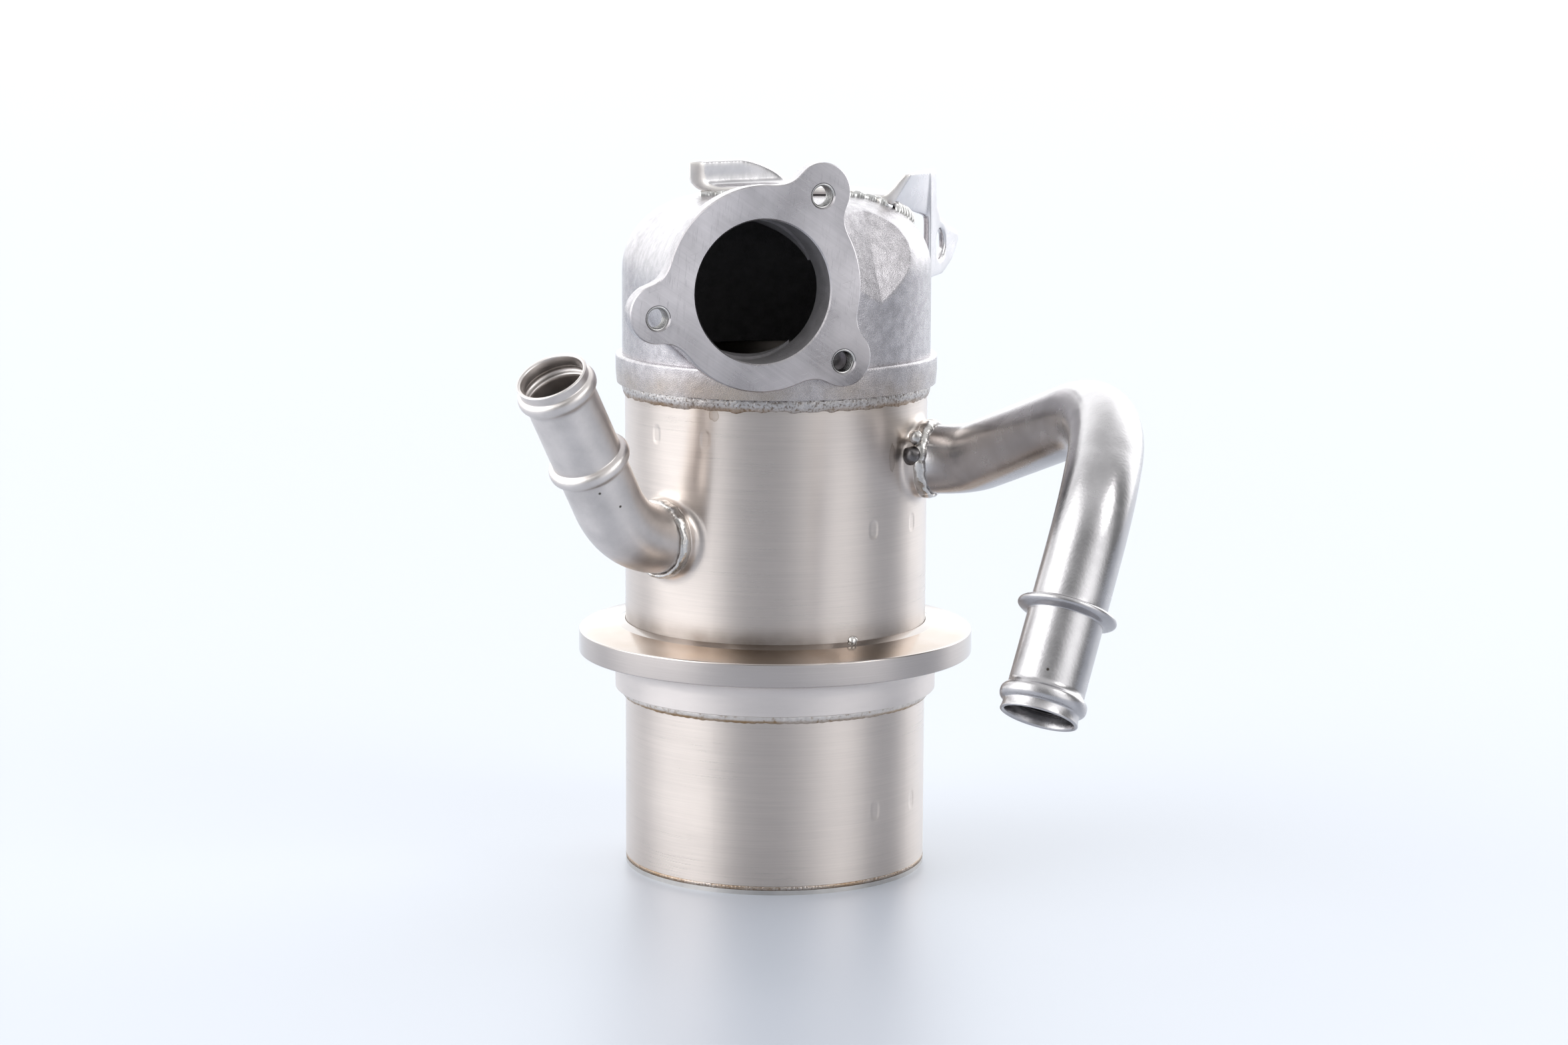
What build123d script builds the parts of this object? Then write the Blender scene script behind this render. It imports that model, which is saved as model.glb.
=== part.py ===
from build123d import *
import math
import os

# EGR cooler. Millimetres, +Z along the cooler's axis, origin on the axis at the foot.
# The gas port faces -Y. Azimuths are measured from -Y towards +X.

# Shell
SHELL_OD = 80.0
SHELL_WALL = 1.5

# Clearances
BRAZE_GAP = 0.05
WELD_GAP = 0.02
SEAT_GAP = 0.02
SLIDE_GAP = 0.15

# Headers and gas tubes
SHEET = 1.2
FOOT_RIM_DROP = 3.0
HEADER_LAND = 3.5
UPPER_HEADER_DROP = 3.6
UPPER_HEADER_WALL = 6.0
TUBE_COUNT = 7
TUBE_SPARE = 0.925
TUBE_SHARE = 0.64
TUBE_WALL = 0.5
TUBE_PROUD = 0.6

# Baffles, each held by two pairs of stakes pressed in from outside
BAFFLE_SHARES = (0.161, 0.456, 0.752, 0.942)
BAFFLE_THICKNESS = 1.0
BAFFLE_CUT_SHARE = 0.55
STAKE_AZIMUTHS = {0: 31.5, 2: 29.6, 3: -60.1}
STAKE_SPREAD = 23.5
STAKE_WIDTH = 3.8
STAKE_HEIGHT = 5.0
STAKE_DEPTH = 0.35

# Ring flange
RIM_OD = 104.8
RIM_BOTTOM = 57.4
RIM_THICKNESS = 6.2
RIM_BREAK = 0.35
RING_SHOULDER = 2.2
RING_SHOULDER_RISE = 1.65
RING_CROWN_RISE = 0.95
HUB_WALL = 2.75
HUB_BOTTOM = 47.7
HUB_FILLET = 6.0

# Cast head
HEAD_PROUD = 0.7
HEAD_WALL = 4.0
HEAD_SPRING = 29.9
HEAD_CROWN_RISE = 19.3
HEAD_FLAT_R = 18.0
COLLAR_WALL = 2.4
COLLAR_HEIGHT = 7.4
COLLAR_ABOVE_NECK = 18.6
SOCKET_DEPTH = 6.4
COLLAR_CHAMFER = 0.6

# Gas port
PORT_BORE = 36.2
PORT_X = -21.5
PORT_RISE = 28.5
PORT_PROUD = 6.0
PORT_BORE_DEPTH = 10.8
PORT_STEP = 0.6
FLANGE_OD = 52.0
FLANGE_THICKNESS = 5.2
FLANGE_LIFT = 0.7
EAR_RADIUS = 7.4
EAR_LIFT = 1.0
EAR_BLEND = 4.5
BOLT_RADIUS = 28.5
BOLT_ANGLES = (56.0, 191.5, 320.0)
TAP_DRILL = 5.0
TAP_DEPTH = 7.5
NECK_MARGIN = 1.5
NECK_END_R = 20.0
NECK_END_X = -20.2
NECK_END_Y = 2.0

# Clearance notch beside the port: a flat and the side of the neck meet in a valley
NOTCH_X = 13.9
NOTCH_SINK = 1.7
NOTCH_RISE = 24.3
NOTCH_RUN = (-0.1, 12.1, 22.1)
NOTCH_FLAT = (0.09, -0.87, 0.48)
NOTCH_SIDE = (0.43, -0.79, 0.43)

# Hose pipes
PIPE_OD = 18.0
PIPE_WALL = 1.0
PIPE_SINK = 1.8
NECK_WALL = 1.15
NECK_PROUD = 1.8
NECK_FLARE = 1.6
BEAD_FOLD = 0.9
END_BEAD_OD = 20.6
END_BEAD_WIDTH = 3.6
END_BEAD_BACK = 4.4
LIP_OD = 18.7

SHORT_AZIMUTH = -65.4
SHORT_HEIGHT = 92.2
SHORT_START = 14.9
SHORT_RUN = (-25.28, -16.35, 46.3)
SHORT_BEND = 25.6
SHORT_STOP = {"back": 27.5, "od": 21.4, "width": 3.8}

LONG_AZIMUTH = 48.1
LONG_HEIGHT = 111.0
LONG_START = 12.9
LONG_RUNS = ((3.73, -78.27, 24.7), (-17.9, -26.6, -20.5), (-21.0, -14.7, -45.6))
LONG_BENDS = (24.4, 38.0, 40.0)
LONG_STOP = {"back": 26.0, "od": 23.6, "width": 2.6}

# Bracket, drawn in its own frame: x along the front edge, turned about the cooler's axis
BRACKET_TURN = -21.4
BRACKET_SHEET = 2.2
BRACKET_FRONT = -4.0
BRACKET_LEFT = -23.7
BRACKET_BEND = 2.2
BRACKET_KINK = 12.0
BRACKET_RIGHT = 29.7
BRACKET_DROP = 7.0
BRACKET_DEPTH = 24.0
WALL_HEIGHT = 6.7
WALL_RUN = 35.0
WALL_TURN = 35.0
EAR_RISE = 5.8
EAR_LEAN = 5.6
EAR_TURN = 20.0
LUG_START = 14.8
LUG_INNER = 38.9
LUG_HOLE = 8.0
LUG_HOLE_AT = (9.6, -14.8)
LUG_OUTLINE = (
    (0, -23.6), (12, -23.2), (20, -20.3), (25.5, -15.8), (26, -12.5), (16, -10.0), (9.5, -7.5), (6.5, -3.8))
LUG_CORNER = 1.5
LUG_TIP = 5.0

# Weld beads
HEAD_BEAD = 2.6
RING_BEAD = 2.4
RING_ROOT = 0.4
FOOT_BEVEL = 1.1
PIPE_BEAD = 2.2

SHELL_R = SHELL_OD / 2
SHELL_BORE_R = SHELL_R - SHELL_WALL
SEAT_R = SHELL_R + BRAZE_GAP
COLLAR_BOTTOM = LONG_HEIGHT + COLLAR_ABOVE_NECK
SHELL_TOP = COLLAR_BOTTOM + SOCKET_DEPTH
PIPE_R = PIPE_OD / 2
PIPE_BORE_R = PIPE_R - PIPE_WALL
PIPE_HOLE_R = PIPE_R + BRAZE_GAP
NECK_R = PIPE_HOLE_R + NECK_WALL
NECK_REACH = SHELL_R + NECK_PROUD
HEADER_WALL_R = SHELL_BORE_R - BRAZE_GAP
HEADER_FIELD_R = HEADER_WALL_R - SHEET
UPPER_HEADER_Z = COLLAR_BOTTOM - UPPER_HEADER_DROP
TUBE_PITCH = 2 * HEADER_FIELD_R / (TUBE_COUNT + TUBE_SPARE)
TUBE_HEIGHT = TUBE_SHARE * TUBE_PITCH
BAFFLE_LEVELS = [share * UPPER_HEADER_Z for share in BAFFLE_SHARES]
HEAD_R = SHELL_R + HEAD_PROUD
COLLAR_R = SHELL_R + COLLAR_WALL
HEAD_SPRING_Z = COLLAR_BOTTOM + HEAD_SPRING
HEAD_TOP = HEAD_SPRING_Z + HEAD_CROWN_RISE
BRACKET_BOTTOM = HEAD_TOP + SEAT_GAP
EAR_TOP = HEAD_TOP + EAR_RISE
PORT_Z = COLLAR_BOTTOM + PORT_RISE
PORT_FACE = SHELL_R + PORT_PROUD
HUB_R = SHELL_R + HUB_WALL
NOTCH_FOOT = (NOTCH_X, NOTCH_SINK - SHELL_R, COLLAR_BOTTOM + NOTCH_RISE)
RING_SHOULDER_Z = RIM_BOTTOM + RIM_THICKNESS + RING_SHOULDER_RISE
TUBE_BOTTOM = FOOT_RIM_DROP - TUBE_PROUD
TUBE_TOP = UPPER_HEADER_Z + SHEET + TUBE_PROUD
LOW = (Align.CENTER, Align.CENTER, Align.MIN)


def turned(profile):
    """Revolves a closed (radius, height) outline about the cooler's axis."""
    return revolve(Plane.XZ * make_face(profile), Axis.Z)


def radial(azimuth, height, reach=0.0):
    """A plane whose normal points outwards at this azimuth."""
    a = math.radians(azimuth)
    out = Vector(math.sin(a), -math.cos(a), 0)
    return Plane(out * reach + Vector(0, 0, height), x_dir=(0, 0, 1), z_dir=out)


def tube_width(offset):
    """Width of a gas tube at this distance from the axis, inside the header's land."""
    reach = HEADER_FIELD_R - HEADER_LAND + 1.5
    edge = abs(offset) + TUBE_HEIGHT / 2
    return 2 * math.sqrt(reach ** 2 - edge ** 2)


def tube_section(offset, grow=0.0):
    return Pos(0, offset) * SlotOverall(tube_width(offset) + 2 * grow, TUBE_HEIGHT + 2 * grow)


def tube_offsets():
    middle = (TUBE_COUNT - 1) / 2
    return [(i - middle) * TUBE_PITCH for i in range(TUBE_COUNT)]


def gas_tube(offset):
    wall = tube_section(offset) - tube_section(offset, -TUBE_WALL)
    return Pos(0, 0, TUBE_BOTTOM) * extrude(wall, TUBE_TOP - TUBE_BOTTOM)


def tube_field(grow):
    field = Sketch()
    for offset in tube_offsets():
        field += tube_section(offset, grow)
    return field


def lower_header():
    """Pressed cap: its rim is the foot, its tube plate is raised inside the shell."""
    foot = SHELL_R
    top = FOOT_RIM_DROP + SHEET
    inner = HEADER_FIELD_R
    cap = turned(Polyline(
        (0, FOOT_RIM_DROP), (inner, FOOT_RIM_DROP), (inner, 0), (foot, 0), (foot, SHEET),
        (HEADER_WALL_R, SHEET), (HEADER_WALL_R, top), (0, top), close=True))
    return cap - Pos(0, 0, -1) * extrude(tube_field(BRAZE_GAP), top + 2)


def upper_header():
    """The same pressing the other way up, brazed into the shell's bore."""
    base = UPPER_HEADER_Z
    top = base + UPPER_HEADER_WALL
    cap = turned(Polyline(
        (0, base), (HEADER_WALL_R, base), (HEADER_WALL_R, top), (HEADER_FIELD_R, top),
        (HEADER_FIELD_R, base + SHEET), (0, base + SHEET), close=True))
    return cap - Pos(0, 0, base - 1) * extrude(tube_field(BRAZE_GAP), SHEET + 2)


def baffle(index):
    """A disc with one side cut away, the sides in turn, so the coolant snakes up the bundle."""
    side = 1 if index % 2 else -1
    plate = Circle(SHELL_BORE_R - SLIDE_GAP) - tube_field(SLIDE_GAP)
    cut = BAFFLE_CUT_SHARE * SHELL_R
    spare = SHELL_R - cut
    plate -= Pos(side * (cut + spare / 2), 0) * Rectangle(spare, SHELL_OD)
    level = BAFFLE_LEVELS[index] - BAFFLE_THICKNESS / 2
    return Pos(0, 0, level) * extrude(plate, BAFFLE_THICKNESS)


def stake_cuts():
    cuts = []
    for index, azimuth in STAKE_AZIMUTHS.items():
        level = BAFFLE_LEVELS[index]
        for turn in (0, 180):
            for side in (-0.5, 0.5):
                at = radial(azimuth + turn + side * STAKE_SPREAD, level, SHELL_R - STAKE_DEPTH)
                cuts.append(extrude(at * SlotOverall(STAKE_HEIGHT, STAKE_WIDTH), 2))
    return cuts


def shell():
    """Tube with two necks drawn out of its wall for the pipes."""
    bottom = SHEET + SEAT_GAP
    bevel = Pos(0, 0, bottom) * Cone(SHELL_R - FOOT_BEVEL, SHELL_R, FOOT_BEVEL, align=LOW)
    above = bottom + FOOT_BEVEL
    body = bevel + Pos(0, 0, above) * Cylinder(SHELL_R, SHELL_TOP - above, align=LOW)
    sides = ((SHORT_AZIMUTH, SHORT_HEIGHT), (LONG_AZIMUTH, LONG_HEIGHT))
    for azimuth, height in sides:
        body += radial(azimuth, height) * Cylinder(NECK_R, NECK_REACH, align=LOW)
    roots = [e for e in body.edges() if e.geom_type not in (GeomType.CIRCLE, GeomType.LINE)]
    body = fillet(roots, NECK_FLARE)
    body -= Cylinder(SHELL_BORE_R, 3 * SHELL_TOP)
    for azimuth, height in sides:
        body -= radial(azimuth, height) * Cylinder(PIPE_HOLE_R, SHELL_OD, align=LOW)
    for cut in stake_cuts():
        body -= cut
    return body - ring_root()


def ring_flange():
    """Turned ring: a hub below, a thick rim, and a top that falls away from the shell."""
    hub = HUB_R
    rim = RIM_OD / 2
    top = RIM_BOTTOM + RIM_THICKNESS
    centre = (hub + HUB_FILLET, RIM_BOTTOM - HUB_FILLET)
    half = HUB_FILLET * math.sqrt(0.5)
    outline = Curve() + [
        Line((SEAT_R, HUB_BOTTOM), (hub, HUB_BOTTOM)),
        Line((hub, HUB_BOTTOM), (hub, centre[1])),
        ThreePointArc((hub, centre[1]), (centre[0] - half, centre[1] + half), (centre[0], RIM_BOTTOM)),
        Polyline((centre[0], RIM_BOTTOM), (rim - RIM_BREAK, RIM_BOTTOM), (rim, RIM_BOTTOM + RIM_BREAK),
                 (rim, top - RIM_BREAK), (rim - RIM_BREAK, top),
                 (SHELL_R + RING_SHOULDER, RING_SHOULDER_Z), (SEAT_R, RING_SHOULDER_Z + RING_CROWN_RISE),
                 (SEAT_R, HUB_BOTTOM)),
    ]
    return turned(outline)


def crown_outline(wall, start):
    """Outline of the head's wall and domed crown, set in by a wall thickness, from a start height."""
    side = HEAD_R - wall
    top = HEAD_TOP - wall
    reach = side - HEAD_FLAT_R
    rise = top - HEAD_SPRING_Z
    half = math.sqrt(0.5)
    shoulder = (HEAD_FLAT_R + reach * half, HEAD_SPRING_Z + rise * half)
    lower = TangentArc((side, HEAD_SPRING_Z), shoulder, tangent=(0, 1))
    upper = TangentArc(shoulder, (HEAD_FLAT_R, top), tangent=lower % 1)
    return [
        Line((0, start), (side, start)),
        Line((side, start), (side, HEAD_SPRING_Z)),
        lower, upper,
        Line((HEAD_FLAT_R, top), (0, top)),
        Line((0, top), (0, start)),
    ]


def notch(inset=0.0):
    """The wedge in front of both planes of the notch, set into the head by a wall's thickness or not."""
    run = Vector(*NOTCH_RUN)
    flat = Plane(NOTCH_FOOT, x_dir=run, z_dir=NOTCH_FLAT).offset(-inset)
    side = Plane(NOTCH_FOOT, x_dir=run, z_dir=NOTCH_SIDE).offset(-inset)
    block = Box(200, 200, 60, align=LOW)
    return (flat * block) & (side * block)


def flange_outline():
    disc = Pos(0, FLANGE_LIFT) * Circle(FLANGE_OD / 2)
    outline = disc
    for angle in BOLT_ANGLES:
        ear = Pos(*bolt_place(angle)) * Pos(0, EAR_LIFT) * Rot(0, 0, angle)
        outline += ear * Circle(EAR_RADIUS)
        outline += ear * Pos(-BOLT_RADIUS / 2, 0) * Rectangle(BOLT_RADIUS, 2 * EAR_RADIUS)
    middle = Vector(0, FLANGE_LIFT, 0)
    corners = [v for v in outline.vertices() if abs((Vector(v) - middle).length - FLANGE_OD / 2) < 0.01]
    return fillet(corners, EAR_BLEND)


def bolt_place(angle):
    a = math.radians(angle)
    return BOLT_RADIUS * math.cos(a), BOLT_RADIUS * math.sin(a)


def gas_head():
    """Cast elbow: a domed chamber on a socket collar, a neck to one side and a machined flange."""
    collar_top = COLLAR_BOTTOM + COLLAR_HEIGHT
    face = Plane((PORT_X, -PORT_FACE, PORT_Z), x_dir=(1, 0, 0), z_dir=(0, -1, 0))
    flange_back = face.offset(-FLANGE_THICKNESS)
    neck_end = Plane((NECK_END_X, NECK_END_Y, PORT_Z), x_dir=(1, 0, 0), z_dir=(0, -1, 0))

    head = turned(Curve() + crown_outline(0, COLLAR_BOTTOM))
    neck = loft([flange_back * Circle(FLANGE_OD / 2 - NECK_MARGIN), neck_end * Circle(NECK_END_R)])
    above = Pos(0, 0, HEAD_TOP) * Box(200, 200, 50, align=LOW)
    head += neck - above
    head -= notch()
    collar = Pos(0, 0, COLLAR_BOTTOM) * Cylinder(COLLAR_R, COLLAR_HEIGHT, align=LOW)
    rim = [e for e in collar.edges() if e.center().Z > collar_top - 0.1]
    head += chamfer(rim, COLLAR_CHAMFER)
    head += extrude(flange_back * flange_outline(), FLANGE_THICKNESS)

    head -= turned(Curve() + crown_outline(HEAD_WALL, SHELL_TOP)) - notch(HEAD_WALL)
    head -= Pos(0, 0, COLLAR_BOTTOM - 1) * Cylinder(SEAT_R, SHELL_TOP + SEAT_GAP - COLLAR_BOTTOM + 1, align=LOW)
    head -= face * Cylinder(PORT_BORE / 2, 2 * PORT_BORE_DEPTH)
    cast = face.offset(-PORT_BORE_DEPTH + 1)
    head -= loft([cast * Circle(PORT_BORE / 2 - PORT_STEP), neck_end * Circle(NECK_END_R - HEAD_WALL)])
    for angle in BOLT_ANGLES:
        hole = face * Pos(*bolt_place(angle))
        head -= hole * Cylinder(TAP_DRILL / 2, 2 * TAP_DEPTH)
    return head


def bead_contour(radius, height, width, centre):
    """Outline of a rolled bead along the pipe: a round top, on straight sides if it is tall."""
    rise = max(0.0, height - width / 2)
    left, right = (centre - width / 2, radius + rise), (centre + width / 2, radius + rise)
    top = [ThreePointArc(left, (centre, radius + height), right)]
    if rise == 0:
        return top
    return [Line((left[0], radius), left)] + top + [Line(right, (right[0], radius))]


def stub_contour(radius, stop, fold):
    """One side of the hose stub's wall, from the back of the stop bead to the mouth."""
    length = stub_length(stop)
    height = (stop["od"] - PIPE_OD) / 2
    first = bead_contour(radius, height, stop["width"] - fold, length - stop["back"])
    height = (END_BEAD_OD - PIPE_OD) / 2
    last = bead_contour(radius, height, END_BEAD_WIDTH - fold, length - END_BEAD_BACK)
    lip = radius + (LIP_OD - PIPE_OD) / 2
    return [Line((0, radius), first[0] @ 0), *first, Line(first[-1] @ 1, last[0] @ 0), *last,
            Line(last[-1] @ 1, (length, lip))]


def stub_length(stop):
    return stop["back"] + stop["width"]


def hose_stub(mouth, direction, stop):
    """The pipe's end: a stop bead and an end bead rolled into its wall, and a slightly belled lip."""
    length = stub_length(stop)
    outer = stub_contour(PIPE_R, stop, 0)
    inner = stub_contour(PIPE_BORE_R, stop, 2 * BEAD_FOLD)
    ends = [Line((0, PIPE_R), (0, PIPE_BORE_R)), Line(outer[-1] @ 1, inner[-1] @ 1)]
    wall = revolve(make_face(Curve() + outer + inner + ends), Axis.X)
    at = Plane(mouth - direction * length, z_dir=direction)
    return at * Rot(0, -90, 0) * wall


def pipe_route(azimuth, height, start, runs):
    """Corners of a pipe's route: out of the shell by a start length, then one run after the other."""
    a = math.radians(azimuth)
    out = Vector(math.sin(a), -math.cos(a), 0)
    up = Vector(0, 0, height)
    route = [out * (SHELL_R - PIPE_SINK) + up, out * (SHELL_R + start) + up]
    for run in runs:
        route.append(route[-1] + Vector(*run))
    return route


def pipe(route, bends, stop, solid=False):
    """A bent tube swept along its route, with a hose stub at its mouth."""
    direction = (route[-1] - route[-2]).normalized()
    points = route[:-1] + [route[-1] - direction * stub_length(stop)]
    path = FilletPolyline(*points, radius=list(bends)) if len(bends) > 1 else FilletPolyline(
        *points, radius=bends[0])
    section = Circle(PIPE_R + WELD_GAP) if solid else Circle(PIPE_R) - Circle(PIPE_BORE_R)
    body = sweep(Plane(path @ 0, z_dir=path % 0) * section, path=path)
    if solid:
        return body
    return body + hose_stub(route[-1], direction, stop)


def short_route():
    return pipe_route(SHORT_AZIMUTH, SHORT_HEIGHT, SHORT_START, (SHORT_RUN,))


def long_route():
    return pipe_route(LONG_AZIMUTH, LONG_HEIGHT, LONG_START, LONG_RUNS)


def bracket_base():
    """Base sheet with its left edge bent up into a tapering wall, cut square at the front."""
    inner = BRACKET_BEND
    outer = BRACKET_BEND + BRACKET_SHEET
    up = outer + WALL_HEIGHT - BRACKET_SHEET
    half = math.sqrt(0.5)
    section = make_face(Curve() + [
        Line((0, outer), (0, up)), Line((0, up), (BRACKET_SHEET, up)),
        Line((BRACKET_SHEET, up), (BRACKET_SHEET, outer)),
        ThreePointArc((BRACKET_SHEET, outer), (outer - inner * half, outer - inner * half),
                      (outer, BRACKET_SHEET)),
        Line((outer, BRACKET_SHEET), (WALL_RUN, BRACKET_SHEET)), Line((WALL_RUN, BRACKET_SHEET), (WALL_RUN, 0)),
        Line((WALL_RUN, 0), (outer, 0)),
        ThreePointArc((outer, 0), (outer - outer * half, outer - outer * half), (0, outer)),
    ])
    a = math.radians(WALL_TURN)
    along = Vector(math.cos(a), math.sin(a), 0)
    across = Vector(math.sin(a), -math.cos(a), 0)
    corner = Vector(BRACKET_LEFT, BRACKET_FRONT, BRACKET_BOTTOM)
    at = Plane(corner - along * BRACKET_DEPTH, x_dir=across, z_dir=-along)
    bent = extrude(at * section, -(WALL_RUN + BRACKET_DEPTH + BRACKET_DEPTH))
    keep = Pos(BRACKET_LEFT, BRACKET_FRONT, BRACKET_BOTTOM) * Box(
        BRACKET_KINK - BRACKET_LEFT, BRACKET_DEPTH, 30, align=(Align.MIN, Align.MIN, Align.MIN))
    side = Plane.XZ * make_face(Curve() + [
        Polyline((BRACKET_LEFT - 5, BRACKET_BOTTOM - 5), (BRACKET_LEFT - 5, BRACKET_BOTTOM + up),
                 (BRACKET_LEFT + 14.5, BRACKET_BOTTOM + up)),
        ThreePointArc((BRACKET_LEFT + 14.5, BRACKET_BOTTOM + up),
                      (BRACKET_LEFT + 21.5, BRACKET_BOTTOM + 0.72 * up),
                      (BRACKET_LEFT + 27, BRACKET_BOTTOM + BRACKET_SHEET)),
        Polyline((BRACKET_LEFT + 27, BRACKET_BOTTOM + BRACKET_SHEET),
                 (BRACKET_KINK + 5, BRACKET_BOTTOM + BRACKET_SHEET), (BRACKET_KINK + 5, BRACKET_BOTTOM - 5),
                 (BRACKET_LEFT - 5, BRACKET_BOTTOM - 5)),
    ])
    return bent & keep & extrude(side, 100, both=True)


def bracket_slope():
    """The base sheet's right part, bent down to follow the crown."""
    drop = math.tan(math.radians(BRACKET_DROP)) * (BRACKET_RIGHT - BRACKET_KINK)
    low = BRACKET_BOTTOM
    outline = Polyline(
        (BRACKET_KINK - 3, low), (BRACKET_KINK, low), (BRACKET_RIGHT, low - drop),
        (BRACKET_RIGHT, low - drop + BRACKET_SHEET), (BRACKET_KINK, low + BRACKET_SHEET),
        (BRACKET_KINK - 3, low + BRACKET_SHEET), close=True)
    sheet = extrude(Plane.XZ * make_face(outline), -(BRACKET_DEPTH - 4))
    return Pos(0, BRACKET_FRONT, 0) * sheet


def ear_section(y, inner_low, outer_low, top_inner):
    """A thin four-sided section across the ear, at this depth."""
    points = [inner_low, outer_low, (top_inner + BRACKET_SHEET, EAR_TOP), (top_inner, EAR_TOP)]
    return Pos(0, y, 0) * (Plane.XZ * make_face(Polyline(*points, close=True)))


def bracket_ear():
    """The right edge bent up. It leans out at the front and stands upright where the lug begins."""
    drop = math.tan(math.radians(BRACKET_DROP)) * (BRACKET_RIGHT - BRACKET_KINK)
    low = BRACKET_BOTTOM - drop
    front = ear_section(BRACKET_FRONT, (BRACKET_RIGHT - BRACKET_SHEET, low + BRACKET_SHEET),
                        (BRACKET_RIGHT, low - 0.6), BRACKET_RIGHT + EAR_LEAN - BRACKET_SHEET)
    back = ear_section(LUG_START + 1, (LUG_INNER, low - 5), (LUG_INNER + BRACKET_SHEET, low - 5), LUG_INNER)
    return loft([front, back], ruled=True)


def bracket_lug():
    """Upright lug with a bolt hole, beside the head."""
    a = math.radians(EAR_TURN)
    at = Plane((LUG_INNER, LUG_START, HEAD_TOP), x_dir=(math.sin(a), math.cos(a), 0),
               z_dir=(math.cos(a), -math.sin(a), 0))
    face = make_face(Polyline(*LUG_OUTLINE, (LUG_TIP, EAR_RISE), (0, EAR_RISE), close=True))
    face = fillet(face.vertices().sort_by_distance((*LUG_OUTLINE[4], 0))[0], LUG_CORNER)
    face -= Pos(*LUG_HOLE_AT) * Circle(LUG_HOLE / 2)
    return extrude(at * face, BRACKET_SHEET)


def mounting_bracket():
    """One pressed sheet, trimmed where it would run into the head."""
    sheet = bracket_base() + bracket_slope() + bracket_ear() + bracket_lug()
    return Rot(0, 0, BRACKET_TURN) * sheet - turned(Curve() + crown_outline(-SEAT_GAP, COLLAR_BOTTOM))


def corner_bead(radius, corner, leg_out, leg_along, root=0.0):
    """A ring weld below a face that stands on a cylinder, fused into the cylinder by its root."""
    r = radius + WELD_GAP
    crown = (r + 0.62 * leg_out, corner + 0.62 * leg_along)
    inside = [(r - root, corner + leg_along), (r - root, corner)] if root else [(r, corner)]
    return turned(Polyline((r + leg_out, corner), crown, (r, corner + leg_along), *inside, close=True))


def ring_root():
    """The shallow groove in the shell that the ring's weld is fused into."""
    root = SHELL_R - RING_ROOT
    low = HUB_BOTTOM - RING_BEAD - 2 * WELD_GAP
    return turned(Polyline(
        (root, low), (SHELL_R + 1, low), (SHELL_R + 1, HUB_BOTTOM), (root, HUB_BOTTOM), close=True))


def foot_weld():
    """Bead in the bevel of the shell's lower end, flush with the shell so that it slides into its housing."""
    low = SHEET + SEAT_GAP
    inner = SHELL_R - FOOT_BEVEL + WELD_GAP
    top = low + FOOT_BEVEL - 2 * WELD_GAP
    return turned(Polyline((inner, low), (SHELL_R, low), (SHELL_R, top), close=True))


def pipe_weld(azimuth, height, core):
    """Bead between a drawn neck's lip and its pipe."""
    r = PIPE_R - 0.6
    leg = NECK_R - r
    lip = NECK_REACH + WELD_GAP
    outline = Polyline((0, r), (0, r + leg), (0.62 * PIPE_BEAD, r + 0.75 * leg), (PIPE_BEAD, r + 0.45),
                       (PIPE_BEAD, r), close=True)
    ring = radial(azimuth, height, lip) * Rot(0, -90, 0) * revolve(make_face(outline), Axis.X)
    return ring - core


def bracket_front_weld():
    """Bead along the front edge of the bracket's base."""
    bead = Pos(6, BRACKET_FRONT - 0.9, BRACKET_BOTTOM - 0.3) * Rot(0, 90, 0) * Cylinder(0.9, 30)
    return Rot(0, 0, BRACKET_TURN) * bead


def bracket_side_weld():
    """Bead between the bracket's ear and the shoulder of the head."""
    bead = Pos(HEAD_R - 7.7, 0.5, HEAD_TOP - 4.6) * Rot(0, 0, 38) * Rot(0, 100, 0) * Cylinder(1.6, 9)
    return Rot(0, 0, BRACKET_TURN) * bead


os.makedirs("parts", exist_ok=True)

pieces = {
    "shell": shell(),
    "ring_flange": ring_flange(),
    "gas_head": gas_head(),
    "mounting_bracket": mounting_bracket(),
    "lower_header": lower_header(),
    "upper_header": upper_header(),
    "short_pipe": pipe(short_route(), (SHORT_BEND,), SHORT_STOP),
    "long_pipe": pipe(long_route(), LONG_BENDS, LONG_STOP),
    "head_weld": corner_bead(SHELL_R, COLLAR_BOTTOM - WELD_GAP, COLLAR_WALL - 0.3, -HEAD_BEAD),
    "ring_weld": corner_bead(SHELL_R, HUB_BOTTOM - WELD_GAP, HUB_WALL - 0.3, -RING_BEAD, RING_ROOT),
    "foot_weld": foot_weld(),
    "short_neck_weld": pipe_weld(
        SHORT_AZIMUTH, SHORT_HEIGHT, pipe(short_route(), (SHORT_BEND,), SHORT_STOP, solid=True)),
    "long_neck_weld": pipe_weld(
        LONG_AZIMUTH, LONG_HEIGHT, pipe(long_route(), LONG_BENDS, LONG_STOP, solid=True)),
}
pieces["bracket_front_weld"] = bracket_front_weld() - pieces["gas_head"] - pieces["mounting_bracket"]
pieces["bracket_side_weld"] = bracket_side_weld() - pieces["gas_head"] - pieces["mounting_bracket"]
for number, offset in enumerate(tube_offsets(), 1):
    pieces[f"gas_tube_{number}"] = gas_tube(offset)
for number in range(len(BAFFLE_LEVELS)):
    pieces[f"baffle_{number + 1}"] = baffle(number)

for name, piece in pieces.items():
    export_step(piece, f"parts/{name}.step")
    print(name, len(piece.solids()), round(piece.volume), piece.is_valid)
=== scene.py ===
import math

import bpy
import bmesh
import numpy as np
from mathutils import Matrix, Vector


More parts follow.
